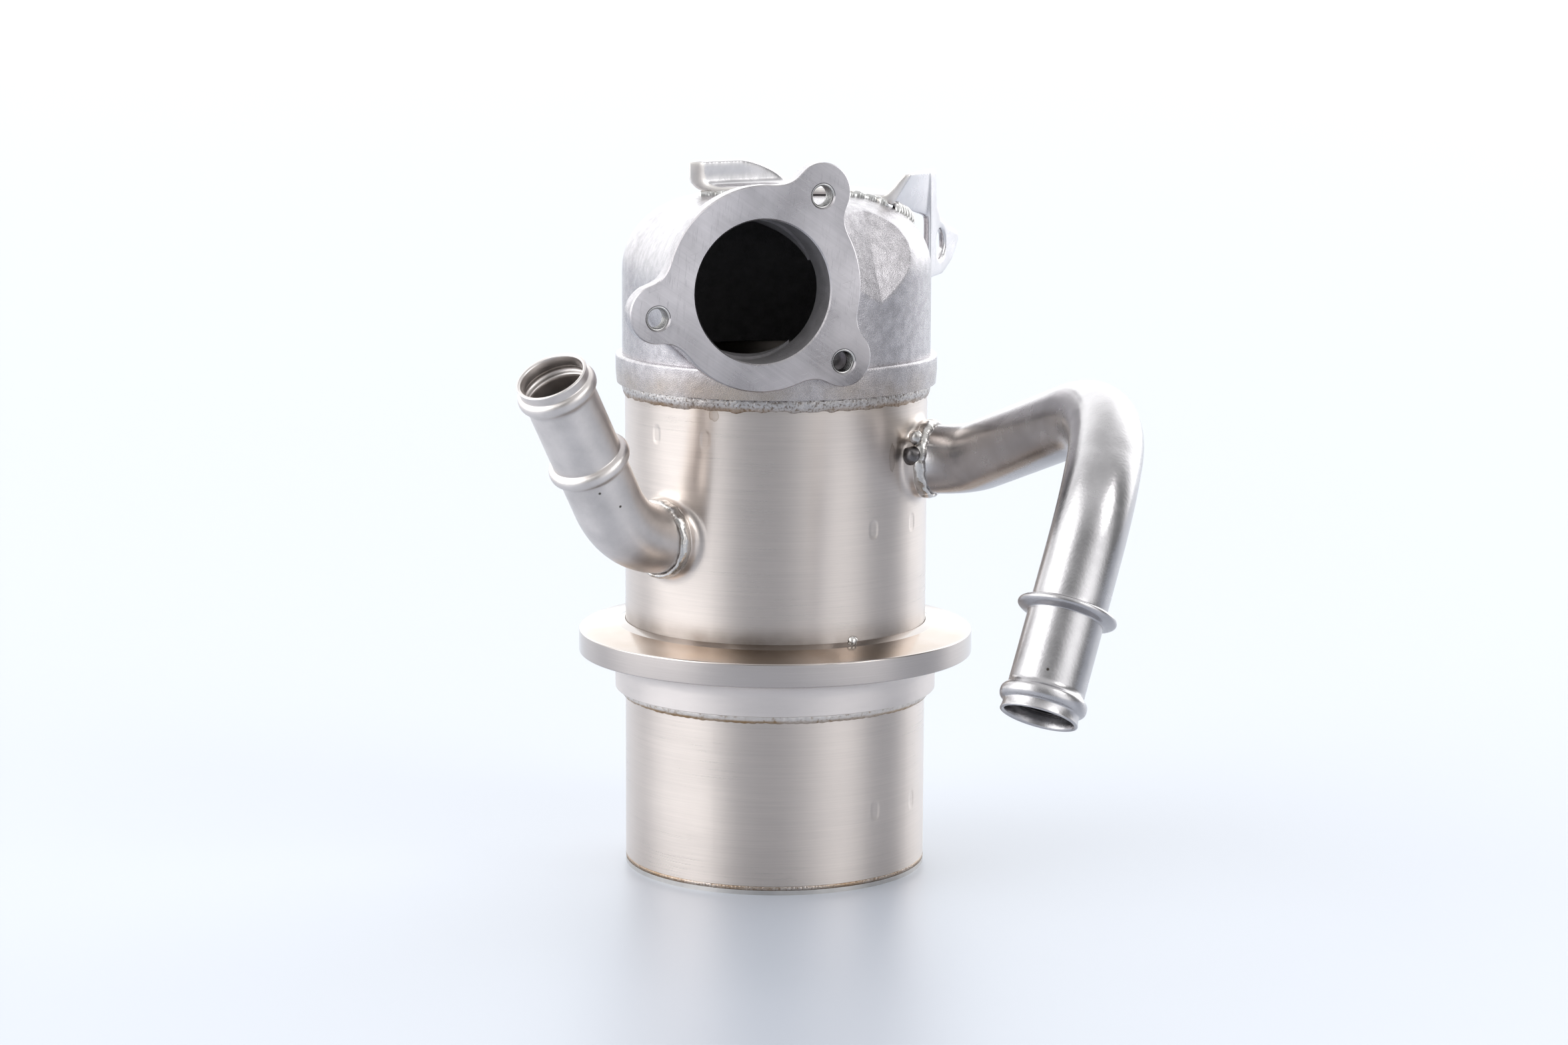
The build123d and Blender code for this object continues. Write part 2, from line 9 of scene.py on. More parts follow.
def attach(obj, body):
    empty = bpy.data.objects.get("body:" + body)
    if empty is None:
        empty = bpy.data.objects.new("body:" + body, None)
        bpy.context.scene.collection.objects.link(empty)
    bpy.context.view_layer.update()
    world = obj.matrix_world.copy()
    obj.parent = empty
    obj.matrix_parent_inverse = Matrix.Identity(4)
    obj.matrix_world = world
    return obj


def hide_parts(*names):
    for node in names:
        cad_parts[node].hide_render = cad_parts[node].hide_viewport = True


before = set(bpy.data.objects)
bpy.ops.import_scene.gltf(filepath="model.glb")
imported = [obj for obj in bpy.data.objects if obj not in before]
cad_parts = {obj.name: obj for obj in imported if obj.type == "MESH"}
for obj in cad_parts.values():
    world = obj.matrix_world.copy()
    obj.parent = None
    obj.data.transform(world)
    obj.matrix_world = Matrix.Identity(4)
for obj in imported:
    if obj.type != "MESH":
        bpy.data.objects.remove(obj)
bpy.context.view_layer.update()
MM = 0.001

# Camera.
# The camera stands about a metre away, a little above the cooler and to the left of the port's axis,
# with an 85 mm lens. Turns are measured from the way the port faces.
CAMERA_TURN, CAMERA_RISE = math.radians(21.4), math.radians(14.439)
CAMERA_PAN, CAMERA_ROLL = math.radians(-0.13), math.radians(-0.25)
CAMERA_REACH, AIM_HEIGHT = 1009.78 * MM, 91.53 * MM
CAMERA_LENS = 85.47


def placed(name, data):
    """A new object in the scene."""
    thing = bpy.data.objects.new(name, data)
    bpy.context.scene.collection.objects.link(thing)
    return thing


def photo_camera():
    place = Vector((0, -CAMERA_REACH * math.cos(CAMERA_RISE), CAMERA_REACH * math.sin(CAMERA_RISE)))
    ahead = Matrix.Rotation(CAMERA_PAN, 3, "Z") @ (Vector((0, 0, AIM_HEIGHT)) - place).normalized()
    right = ahead.cross(Vector((0, 0, 1))).normalized()
    down = ahead.cross(right)
    right, down = (math.cos(CAMERA_ROLL) * right + math.sin(CAMERA_ROLL) * down,
                   math.cos(CAMERA_ROLL) * down - math.sin(CAMERA_ROLL) * right)
    turn = Matrix.Rotation(-CAMERA_TURN, 3, "Z")
    place, right, down, ahead = turn @ place, turn @ right, turn @ down, turn @ ahead
    data = bpy.data.cameras.new("camera")
    data.sensor_width = 36.0
    data.lens = CAMERA_LENS
    data.clip_start = 0.05
    data.clip_end = 20.0
    camera = placed("camera", data)
    rows = [(right[k], -down[k], -ahead[k], place[k]) for k in range(3)]
    camera.matrix_world = Matrix([*rows, (0, 0, 0, 1)])
    bpy.context.scene.camera = camera


photo_camera()

# Studio.
# A light tent round a glossy white table: a bright white wall behind, a brighter panel on the left, a narrow
# one on the right, and the dull room in front where the camera looks in. The world holds the tent.
# Its walls are (turn from the camera's side in degrees, brightness), its ceiling (height, brightness).
TENT_WALLS = ((-180, 2.1), (-135, 2.2), (-121, 1.1), (-108, 2.0), (-94, 3.1), (-62, 3.2), (-48, 2.4),
              (-37, 0.95), (-25, 0.45), (-10, 0.3), (6, 0.3), (20, 0.8), (33, 1.5), (48, 2.0), (63, 1.7),
              (76, 0.5), (90, 0.22), (106, 0.35), (116, 1.4), (125, 3.0), (150, 3.2), (162, 2.1), (180, 2.1))
TENT_CEILING = ((0, 0.5), (0.5, 0.8), (0.56, 1.0), (0.72, 1.0), (0.9, 0.9), (1.0, 0.85))
WALL_RANGE = 4.0
TABLE_REACH = 6.0


def feed(node, values):
    """Gives each input, by name or number, a constant or a link from another node's output."""
    for key, value in values.items():
        if isinstance(value, bpy.types.NodeSocket):
            node.id_data.links.new(value, node.inputs[key])
        else:
            node.inputs[key].default_value = value
    return node


def add_node(tree, kind, values=None, **settings):
    node = tree.nodes.new(kind)
    for key, value in settings.items():
        setattr(node, key, value)
    return feed(node, values or {})


def result(tree, kind, values=None, **settings):
    """The first output of a new node."""
    return add_node(tree, kind, values, **settings).outputs[0]


def calc(operation, *values, clamp=False):
    """Reckons with constants and outputs of nodes, in the tree that the outputs belong to."""
    tree = next(value.id_data for value in values if isinstance(value, bpy.types.NodeSocket))
    return result(tree, "ShaderNodeMath", dict(enumerate(values)), operation=operation, use_clamp=clamp)


def mapped(place, kind="POINT", **values):
    return result(place.id_data, "ShaderNodeMapping", {"Vector": place, **values}, vector_type=kind)


def spread(value, start, end, low=0.0, high=1.0, kind="LINEAR"):
    """Maps a value that runs from start to end onto low to high."""
    return result(value.id_data, "ShaderNodeMapRange", {
        "Value": value, "From Min": start, "From Max": end, "To Min": low, "To Max": high},
        interpolation_type=kind)


def ramp(value, stops, kind="LINEAR"):
    """Turns a value into the colours or brightnesses of the stops."""
    node = add_node(value.id_data, "ShaderNodeValToRGB", {0: value})
    node.color_ramp.interpolation = kind
    elements = node.color_ramp.elements
    while len(elements) < len(stops):
        elements.new(0.5)
    for element, (place, shade) in zip(elements, stops):
        element.position = place
        element.color = (*shade, 1) if hasattr(shade, "__len__") else (shade, shade, shade, 1)
    return node.outputs[0]


def light_tent():
    world = bpy.data.worlds.new("light_tent")
    bpy.context.scene.world = world
    world.use_nodes = True
    tree = world.node_tree
    tree.nodes.clear()
    place = add_node(tree, "ShaderNodeTexCoord").outputs["Generated"]
    turned = mapped(place, Rotation=(0, 0, CAMERA_TURN))
    x, y, z = add_node(tree, "ShaderNodeSeparateXYZ", {0: turned}).outputs
    angle = calc("ARCTAN2", x, calc("MULTIPLY", y, -1.0))
    along = calc("ADD", calc("DIVIDE", angle, 2 * math.pi), 0.5)
    walls = ramp(along, [((a + 180) / 360, v / WALL_RANGE) for a, v in TENT_WALLS], kind="B_SPLINE")
    up = calc("ADD", calc("MULTIPLY", z, 0.5), 0.5)
    ceiling = ramp(up, TENT_CEILING)
    level = calc("MULTIPLY", walls, WALL_RANGE)
    overhead = spread(z, 0.55, 0.95)
    mix = result(tree, "ShaderNodeMix", {0: overhead, 2: level, 3: 1.0}, data_type="FLOAT")
    tent = calc("MULTIPLY", mix, ceiling)
    light = result(tree, "ShaderNodeBackground", {"Color": (0.97, 0.985, 1.0, 1), "Strength": tent})
    add_node(tree, "ShaderNodeOutputWorld", {0: light})


def soft_panel(name, turn, rise, reach, size, power):
    """A square panel at this turn from the camera's side, facing the middle of the cooler."""
    a = math.radians(turn) - CAMERA_TURN
    e = math.radians(rise)
    aim = Vector((0, 0, 0.1))
    data = bpy.data.lights.new(name, "AREA")
    data.shape = "SQUARE"
    data.size = size
    data.energy = power
    panel = placed(name, data)
    way = Vector((math.sin(a) * math.cos(e), -math.cos(a) * math.cos(e), math.sin(e)))
    panel.location = aim + reach * way
    panel.rotation_euler = (aim - panel.location).to_track_quat("-Z", "Y").to_euler()


def table_top():
    """A glossy white table top that runs out past the picture."""
    mesh = bpy.data.meshes.new("table_top")
    s = TABLE_REACH
    mesh.from_pydata([(-s, -s, 0), (s, -s, 0), (s, s, 0), (-s, s, 0)], [], [(0, 1, 2, 3)])
    table = placed("table_top", mesh)
    finish = bpy.data.materials.new("white_gloss_laminate")
    finish.use_nodes = True
    feed(finish.node_tree.nodes["Principled BSDF"], {
        "Base Color": (0.43, 0.46, 0.52, 1), "Roughness": 0.4, "IOR": 2.1})
    mesh.materials.append(finish)


light_tent()
soft_panel("left_panel", turn=-72, rise=40, reach=1.1, size=0.9, power=2)
soft_panel("right_panel", turn=58, rise=38, reach=1.1, size=0.4, power=1.6)
table_top()
bpy.context.scene.view_settings.view_transform = "Standard"

# Shell.
# Welded stainless tube, 80 mm outside, belt brushed round its girth. Two necks are drawn out of its wall
# for the coolant pipes, and small stake marks pressed from outside hold the baffles.
SHELL_R, SHELL_BORE = 40.0, 38.5
SHELL_LOW, SHELL_HIGH, FOOT_EDGE = 1.22, 136.0, 1.1
NECK_R, NECK_BORE, NECK_REACH = 10.2, 9.05, 41.8
NECK_FLARE, NECK_LIP, NECK_HOLE = 2.3, 0.35, 9.6
NECKS = {"short": (-65.4, 92.2), "long": (48.1, 111.0)}
STAKES = [(azimuth + turn + side * 11.75, level)
          for level, azimuth in ((20.3, 31.5), (94.8, 29.6), (118.7, -60.1))
          for turn in (0, 180) for side in (-1, 1)]
STAKE_R, STAKE_EDGE, STAKE_HALF_RUN, STAKE_DEEP = 1.5, 0.6, 1.0, 0.09
STAKE_LIP_R, STAKE_LIP_WIDE, STAKE_LIP_HIGH = 1.75, 0.3, 0.014


def directions(azimuth):
    """The level way out from the Z axis at this turn from the port's side, the way aside and the way up."""
    a = math.radians(azimuth)
    return np.array(((math.sin(a), -math.cos(a), 0.0), (math.cos(a), math.sin(a), 0.0), (0.0, 0.0, 1.0)))


def turns_of(count):
    """The angles of evenly spaced points round a circle."""
    return [2 * math.pi * i / count for i in range(count)]


def object_from(name, points, faces):
    """A smooth mesh object from points in millimetres."""
    mesh = bpy.data.meshes.new(name)
    places = [tuple(p) for p in np.asarray(points, float) * MM]
    mesh.from_pydata(places, [], [tuple(map(int, f)) for f in faces])
    mesh.validate()
    mesh.shade_smooth()
    return placed(name, mesh)


def joined(*skins):
    points, faces = [], []
    for more, skin in skins:
        start = len(points)
        points += list(more)
        faces += [tuple(start + k for k in f) for f in skin]
    return points, faces


def bands(rings, count, closed=False):
    """Faces between rings of points that follow one another, the last one joined to the first if closed."""
    faces = []
    for k in range(rings if closed else rings - 1):
        n = (k + 1) % rings
        for i in range(count):
            j = (i + 1) % count
            faces.append((k * count + i, k * count + j, n * count + j, n * count + i))
    return faces


def outward(thing):
    """Merges doubles and points the faces outwards."""
    work = bmesh.new()
    work.from_mesh(thing.data)
    bmesh.ops.remove_doubles(work, verts=work.verts, dist=1e-6)
    bmesh.ops.recalc_face_normals(work, faces=work.faces)
    work.to_mesh(thing.data)
    work.free()


def crisp(thing, degrees):
    """Leaves the edges that are sharper than this crisp."""
    thing.data.set_sharp_from_angle(angle=math.radians(degrees))


def coat(thing, *finishes):
    """Gives the mesh these materials and no others."""
    thing.data.materials.clear()
    for finish in finishes:
        thing.data.materials.append(finish)


def samples_near(centres, low, high, coarse, fine, span):
    """Values from low to high in coarse steps, with fine steps within a span of each centre."""
    values = list(np.arange(low, high, coarse))
    for centre in centres:
        values += list(np.arange(centre - span, centre + span + fine / 2, fine))
    values = np.array(sorted(v for v in values if low <= v < high))
    keep = [0]
    for i in range(1, len(values)):
        if values[i] - values[keep[-1]] > fine * 0.6:
            keep.append(i)
    return values[keep]


def new_metal(name, metal=1.0):
    """A metal, with its shader and the object's own coordinates."""
    steel = bpy.data.materials.new(name)
    steel.use_nodes = True
    tree = steel.node_tree
    shader = feed(tree.nodes["Principled BSDF"], {"Metallic": metal})
    return steel, shader, own_place(tree)


def own_place(tree):
    return add_node(tree, "ShaderNodeTexCoord").outputs["Object"]


def noise(place, scale, detail=2.0, roughness=0.5):
    return result(place.id_data, "ShaderNodeTexNoise", {
        "Vector": place, "Scale": scale, "Detail": detail, "Roughness": roughness})


def blend(first, second, share):
    """Mixes two noises, the first by this share."""
    return calc("ADD", calc("MULTIPLY", first, share), calc("MULTIPLY", second, 1 - share))


def mixed_colour(share, first, second):
    values = {0: share, 6: first, 7: second}
    return add_node(share.id_data, "ShaderNodeMix", values, data_type="RGBA").outputs[2]


def vector_calc(operation, first, second=None):
    """Reckons with places and directions."""
    values = {0: first}
    if second is not None:
        values["Scale" if operation == "SCALE" else 1] = second
    node = add_node(first.id_data, "ShaderNodeVectorMath", values, operation=operation)
    return node.outputs["Value" if operation == "LENGTH" else "Vector"]


def shades(colour, *stops):
    """Ramp stops of one colour, each with its place and how bright the colour is there."""
    return [(place, tuple(min(1, c * bright) for c in colour)) for place, bright in stops]


def relief(height, strength, deep):
    """Small bumps that are this deep in millimetres."""
    return result(height.id_data, "ShaderNodeBump", {
        "Height": height, "Strength": strength, "Distance": deep * MM})


def brushed_steel(name, colour, roughness, anisotropy=0.0, bump=0.12, streak=900.0):
    """Stainless steel with fine brush lines round the Z axis and faint clouds."""
    steel, shader, place = new_metal(name)
    lines = mapped(place, Scale=(14, 14, streak))
    grain = noise(lines, 3.2, 5.0, 0.62)
    mixed = blend(grain, noise(place, 38.0, 3.0), 0.55)
    feed(shader, {
        "Base Color": ramp(mixed, shades(colour, (0.3, 0.9), (0.7, 1.07))),
        "Roughness": spread(mixed, 0.25, 0.75, roughness * 0.8, roughness * 1.25),
        "Normal": relief(grain, bump, 0.06)})
    if anisotropy:
        round_z = result(steel.node_tree, "ShaderNodeTangent", direction_type="RADIAL", axis="Z")
        feed(shader, {"Anisotropic": anisotropy, "Anisotropic Rotation": 0.25, "Tangent": round_z})
    return steel


def coloured(steel, share, colour):
    """Mixes a colour into the metal's own by the given share."""
    tree = steel.node_tree
    own = tree.nodes["Principled BSDF"].inputs["Base Color"]
    tree.links.new(mixed_colour(share, own.links[0].from_socket, (*colour, 1)), own)
    return steel


def heat_tinted(steel, colour, amount, start, full, stop=None):
    """Adds a heat tint in soft clouds that grows from one height to the other, and ends below a stop."""
    tree = steel.node_tree
    place = own_place(tree)
    height = add_node(tree, "ShaderNodeSeparateXYZ", {0: place}).outputs["Z"]
    band = spread(height, start * MM, full * MM, kind="SMOOTHSTEP")
    patch = ramp(noise(place, 55.0, 4.0), [(0.38, 0.25), (0.66, 1.0)])
    share = calc("MULTIPLY", calc("MULTIPLY", band, patch), amount)
    if stop is not None:
        share = calc("MULTIPLY", share, calc("GREATER_THAN", height, stop * MM))
    return coloured(steel, share, colour)


def stained(steel, colour, amount, azimuth, level, wide, tall):
    """Adds one oval stain to the shell, darker at its rim as a dried drop is."""
    centre = (directions(azimuth)[0] * SHELL_R + (0, 0, level)) * MM
    spot = mapped(own_place(steel.node_tree), "TEXTURE",
                  Location=tuple(centre), Scale=(wide * MM, wide * MM, tall * MM))
    ragged = calc("ADD", vector_calc("LENGTH", spot), calc("MULTIPLY", noise(spot, 1.3), 0.6))
    ring = ramp(calc("MULTIPLY", ragged, 0.75), [(0.0, 0.35), (0.8, 0.5), (0.95, 1.0), (1.0, 0.0)])
    return coloured(steel, calc("MULTIPLY", ring, amount), colour)


def shell():
    """The tube's outer and inner skins, with the stake marks pressed in and a hole inside each neck."""
    columns = samples_near([azimuth % 360 for azimuth, _ in STAKES], 0, 360, coarse=2.5, fine=0.45, span=3.6)
    levels = sorted({level for _, level in STAKES})
    rows = samples_near(levels, SHELL_LOW + FOOT_EDGE + 0.2, SHELL_HIGH, coarse=4.0, fine=0.5, span=4.0)
    for _, height in NECKS.values():
        rows = np.array(sorted(set(rows) | set(np.arange(height - 12, height + 12.1, 1.2))))
    foot = SHELL_LOW + FOOT_EDGE
    rows = np.array([SHELL_LOW, foot] + [r for r in rows if r > foot + 0.1] + [SHELL_HIGH])
    turn, rise = np.meshgrid(np.radians(columns), rows, indexing="ij")
    depth = np.zeros_like(turn)
    for azimuth, level in STAKES:
        across = np.angle(np.exp(1j * (turn - math.radians(azimuth)))) * SHELL_R
        up = np.maximum(np.abs(rise - level) - STAKE_HALF_RUN, 0)
        away = np.hypot(across, up)
        mark = np.clip((STAKE_R - away) / STAKE_EDGE, 0, 1)
        depth += STAKE_DEEP * mark * mark * (3 - 2 * mark)
        depth -= STAKE_LIP_HIGH * np.exp(-((away - STAKE_LIP_R) / STAKE_LIP_WIDE) ** 2)
    outer = SHELL_R - depth
    outer[:, 0] = SHELL_R - FOOT_EDGE
    inner = np.full_like(outer, SHELL_BORE)

    def surface(radius):
        return np.stack([radius * np.sin(turn), -radius * np.cos(turn), rise], -1).reshape(-1, 3)

    n, m = turn.shape
    points = np.vstack([surface(outer), surface(inner)])
    open_cell = np.zeros((n, m - 1), bool)
    for azimuth, height in NECKS.values():
        side = np.angle(np.exp(1j * (turn - math.radians(azimuth))))
        reach = np.hypot(SHELL_R * np.sin(side), rise - height)
        reach[np.abs(side) > 1.2] = math.inf
        nearest = np.minimum(np.roll(reach, -1, 0), reach)
        open_cell |= np.minimum(nearest[:, :-1], nearest[:, 1:]) < NECK_HOLE
    faces = []
    half = n * m
    for i in range(n):
        j = (i + 1) % n
        for k in range(m - 1):
            if open_cell[i, k]:
                continue
            a, b, c, d = i * m + k, j * m + k, j * m + k + 1, i * m + k + 1
            faces.append((a, b, c, d))
            faces.append((half + d, half + c, half + b, half + a))
            sides = ((open_cell[i - 1, k], a, d), (open_cell[j, k], c, b),
                     (k == 0 or open_cell[i, k - 1], b, a), (k == m - 2 or open_cell[i, k + 1], d, c))
            faces += [(p, q, half + q, half + p) for bare, p, q in sides if bare]
    return points, faces


def neck(azimuth, height):
    """Skin of a drawn neck: a flare out of the shell, a wall, a rounded lip and a bore."""
    points, turns = [], turns_of(128)
    out, side, up = directions(azimuth)
    flare = NECK_R + NECK_FLARE
    for t in turns:

        def ground(r):
            """How far out the shell's skin lies at this distance from the neck's axis."""
            return math.sqrt(SHELL_R ** 2 - (r * math.sin(t)) ** 2)

        foot, corner = np.array((flare, ground(flare))), np.array((NECK_R, ground(NECK_R)))
        top = np.array((NECK_R, min(corner[1] + NECK_FLARE * 0.9, NECK_REACH - NECK_LIP)))
        line = [(NECK_R - 1.0, SHELL_BORE + 0.2), (flare + 0.6, ground(flare + 0.6) - 0.35),
                (flare + 0.5, ground(flare + 0.5) - 0.02)]
        for s in np.linspace(0, 1, 9):
            line.append((1 - s) ** 2 * foot + 2 * s * (1 - s) * corner + s * s * top)
        for s in np.linspace(0, math.pi / 2, 5):
            line.append((NECK_R - NECK_LIP * (1 - math.cos(s)), NECK_REACH - NECK_LIP * (1 - math.sin(s))))
        line += [(NECK_BORE, NECK_REACH), (NECK_BORE, SHELL_BORE + 0.2)]
        for r, reach in line:
            points.append(out * reach + side * r * math.sin(t) + up * (height + r * math.cos(t)))
    return points, bands(len(turns), len(points) // len(turns), closed=True)


def dressed_shell():
    body = object_from("shell_skin", *joined(shell(), *(neck(*place) for place in NECKS.values())))
    outward(body)
    crisp(body, 38)
    steel = brushed_steel("belt_brushed_shell", (0.64, 0.575, 0.53), 0.30, anisotropy=0.75)
    heat_tinted(steel, (0.40, 0.33, 0.26), 0.45, start=124.5, full=127.6)
    heat_tinted(steel, (0.24, 0.19, 0.155), 0.85, start=72.0, full=66.0, stop=55.0)
    stained(steel, (0.30, 0.225, 0.16), 0.6, azimuth=-44.8, level=125.2, wide=1.4, tall=1.6)
    stained(steel, (0.30, 0.225, 0.16), 0.5, azimuth=27.3, level=112.8, wide=1.1, tall=3.6)
    coat(body, steel)
    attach(body, "root")
    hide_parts("shell")


dressed_shell()

# Ring flange.
# Turned from one ring of stainless: a hub below, a thick rim with broken edges, and a top that falls
# away outwards from a polished bevel next to the shell. It is slid over the shell and welded below.
RING_BORE, HUB_R, RIM_R = 40.05, 42.75, 52.4
HUB_LOW, RIM_LOW, RIM_HIGH, BEVEL_LOW = 47.7, 57.4, 63.6, 65.25
RING_OUTLINE = (
    (RING_BORE, HUB_LOW, 0.1), (HUB_R, HUB_LOW, 0.3), (HUB_R, RIM_LOW, 6.0), (RIM_R, RIM_LOW, 0.4),
    (RIM_R, RIM_HIGH, 0.45), (42.2, BEVEL_LOW, 0.15), (40.2, 66.15, 0.15), (RING_BORE, 66.0, 0.05))


def rounded(outline, steps=7):
    """A closed outline of (x, y, radius) corners with its corners turned into arcs."""
    points = []
    count = len(outline)
    for i in range(count):
        here = np.array(outline[i][:2], float)
        before = np.array(outline[i - 1][:2], float) - here
        after = np.array(outline[(i + 1) % count][:2], float) - here
        lengths = np.linalg.norm(before), np.linalg.norm(after)
        before, after = before / lengths[0], after / lengths[1]
        half = math.acos(max(-1, min(1, float(before @ after)))) / 2
        radius = outline[i][2]
        back = min(radius / math.tan(half), 0.49 * min(lengths)) if radius else 0
        if not back or half > 1.5:
            points.append(here)
            continue
        radius = back * math.tan(half)
        centre = here + (before + after) / np.linalg.norm(before + after) * radius / math.sin(half)
        start, end = here + before * back - centre, here + after * back - centre
        sweep = math.pi - 2 * half
        for s in np.linspace(0, 1, steps + 1):
            blend_in = (math.sin((1 - s) * sweep) * start + math.sin(s * sweep) * end) / math.sin(sweep)
            points.append(centre + blend_in)
    return points


def lathe(outline, count=256):
    """Turns a closed (radius, height) outline about the Z axis."""
    points = [(r * math.sin(a), -r * math.cos(a), z) for a in turns_of(count) for r, z in outline]
    return points, bands(count, len(outline), closed=True)


def ring_finish(face):
    """The number of the ring's finish for a face: rim, top, bevel or hub."""
    centre = face.center / MM
    reach = math.hypot(centre.x, centre.y)
    if centre.z > BEVEL_LOW - 0.05:
        return 2
    if centre.z > RIM_HIGH - 0.15 and reach < RIM_R - 0.3:
        return 1
    if centre.z < RIM_LOW - 0.1 or reach < HUB_R + 6.25:
        return 3
    return 0


def ring_flange():
    ring = object_from("ring_flange_turned", *lathe(rounded(RING_OUTLINE)))
    outward(ring)
    crisp(ring, 30)
    top = brushed_steel("turned_top", (0.39, 0.34, 0.305), 0.17, anisotropy=0.2, bump=0.1, streak=500.0)
    coat(ring,
         brushed_steel("turned_rim", (0.55, 0.50, 0.47), 0.11, anisotropy=0.15, bump=0.08, streak=1500.0),
         heat_tinted(top, (0.32, 0.24, 0.17), 0.7, start=63.3, full=64.2),
         brushed_steel("polished_bevel", (0.34, 0.31, 0.29), 0.14, bump=0.03, streak=500.0),
         brushed_steel("blasted_hub", (0.75, 0.69, 0.655), 0.36, streak=60.0))
    for face in ring.data.polygons:
        face.material_index = ring_finish(face)
    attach(ring, "root")
    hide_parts("ring_flange")


ring_flange()

# Cast head.
# Sand cast stainless elbow with a socket collar for the shell. The body keeps its sand skin and soft
# corners. The port's face and bore and the three tapped ears are machined afterwards, so they are crisp.
HEAD_R, HEAD_SPRING, HEAD_TOP, HEAD_FLAT, HEAD_WALL = 40.7, 159.5, 178.8, 18.0, 4.0
COLLAR_R, COLLAR_LOW, COLLAR_HIGH = 42.45, 129.6, 137.3
SOCKET_R, SOCKET_HIGH = 40.05, 136.02
PORT = np.array((-21.5, -46.0, 158.1))
PORT_R, PORT_DEEP, PORT_SINK = 18.1, 10.8, 0.35
EARS = [(28.5 * math.cos(math.radians(a)), 28.5 * math.sin(math.radians(a))) for a in (56.0, 191.5, 320.0)]
EAR_HOLE_R, EAR_HOLE_DEEP, EAR_HOLE_SINK = 2.95, 7.5, 0.4
# The disc and the ears of the flange, whose edges flow together over a blend.
DISC_CENTRE, DISC_R = (0.35, 0.75), 26.0
EAR_R, EAR_LIFT, EAR_BLEND = 7.4, 1.0, 5.2
# Skins through the flange's outline, as (place along Y, how much wider).
FLANGE_BLANK = ((-40.8, -0.1), (-47.0, 0.0))
FACE_PLATE = ((-43.5, -0.3), (PORT[1] + 0.3, 0.0), (PORT[1], -0.3))
# Circles along the neck of the port, outside and inside, as (y, x, radius).
SPOUT = ((-42.0, -21.5, 24.6), (-30.0, -21.15, 23.3), (-14.0, -20.7, 21.6), (2.0, -20.2, 20.0),
         (8.0, -20.0, 19.0))
THROAT = ((-38.0, -21.5, 17.5), (2.0, -20.2, 16.0))
NOTCH_FOOT = np.array((13.9, -38.3, 153.9))
NOTCH_TURN = np.array((-0.1, 12.1, 22.1))
NOTCH_FACES = [np.array(n) / np.linalg.norm(n) for n in ((0.09, -0.87, 0.48), (0.43, -0.79, 0.43))]
NOTCH_SINK = 0.12
BOX_FACES = [(0, 1, 2, 3), (7, 6, 5, 4), (0, 4, 5, 1), (1, 5, 6, 2), (2, 6, 7, 3), (3, 7, 4, 0)]
# Scratches of the milled face, as (turn, width in metres, how rare).
SCRATCHES = ((0.15, 0.00016, 0.745), (1.25, 0.0002, 0.755), (2.2, 0.00015, 0.765))
# The third finish is a dark grey cast, painted shade for the dark inside of the port.
SKIN, MILLED, INSIDE_SHADE = 0, 1, 2


def filled_lathe(outline, count=192):
    """Turns an open outline that starts and ends on the axis into a closed skin."""
    points = [(0, 0, outline[0][1]), (0, 0, outline[-1][1])]
    points += [(r * math.sin(a), -r * math.cos(a), z) for a in turns_of(count) for r, z in outline[1:-1]]
    faces = []
    m = len(outline) - 2
    for i in range(count):
        j = (i + 1) % count
        a, b = 2 + i * m, 2 + j * m
        faces.append((0, b, a))
        faces.append((1, a + m - 1, b + m - 1))
        for k in range(m - 1):
            faces.append((a + k, b + k, b + k + 1, a + k + 1))
    return points, faces


def cylinder(radius, low, high):
    return filled_lathe([(0, low), (radius, low), (radius, high), (0, high)])


def crown(wall, low):
    """The head's outline from a height up to the top, this deep under its skin."""
    side, top = HEAD_R - wall, HEAD_TOP - wall
    line = [(side, low)]
    for s in np.linspace(0, math.pi / 2, 24):
        line.append((HEAD_FLAT + (side - HEAD_FLAT) * math.cos(s),
                     HEAD_SPRING + (top - HEAD_SPRING) * math.sin(s)))
    return line + [(0, top)]


def capped_tube(rings):
    """A closed skin through rings of points, capped at both ends."""
    count = len(rings[0])
    points = [point for ring in rings for point in ring]
    caps = [tuple(range(count))[::-1], tuple(range(len(points) - count, len(points)))]
    return points, bands(len(rings), count) + caps


def port_tube(rows, count=128, cap=math.inf):
    """A closed tube through circles (y, x, z, radius), cut flat at the height of the cap."""
    return capped_tube([[(x + r * math.cos(a), y, min(z + r * math.sin(a), cap)) for a in turns_of(count)]
                        for y, x, z, r in rows])


def port_plug(x, z, radius, deep, sink):
    """A round plug into the port's face along Y, with a countersink of 45 degrees."""
    front = PORT[1] - 5
    return port_tube([(front, x, z, radius + sink), (PORT[1], x, z, radius + sink),
                      (PORT[1] + sink, x, z, radius), (PORT[1] + deep, x, z, radius)], 96)


def flange_reach(angle):
    """Distance from the port's centre to the flange's edge, with the ears blended into the disc."""
    way = np.array((math.cos(angle), math.sin(angle)))

    def outside(r):
        p = way * r
        gap = np.linalg.norm(p - DISC_CENTRE) - DISC_R
        for ear in EARS:
            tip = np.array(ear) + (0, EAR_LIFT)
            along = max(0.0, min(1.0, float(p @ tip) / float(tip @ tip)))
            arm = np.linalg.norm(p - tip * along) - EAR_R
            near_both = max(EAR_BLEND - abs(gap - arm), 0.0)
            gap = min(gap, arm) - near_both * near_both / (4 * EAR_BLEND)
        return gap

    near, far = 20.0, 42.0
    for _ in range(26):
        middle = (near + far) / 2
        if outside(middle) > 0:
            far = middle
        else:
            near = middle
    return near


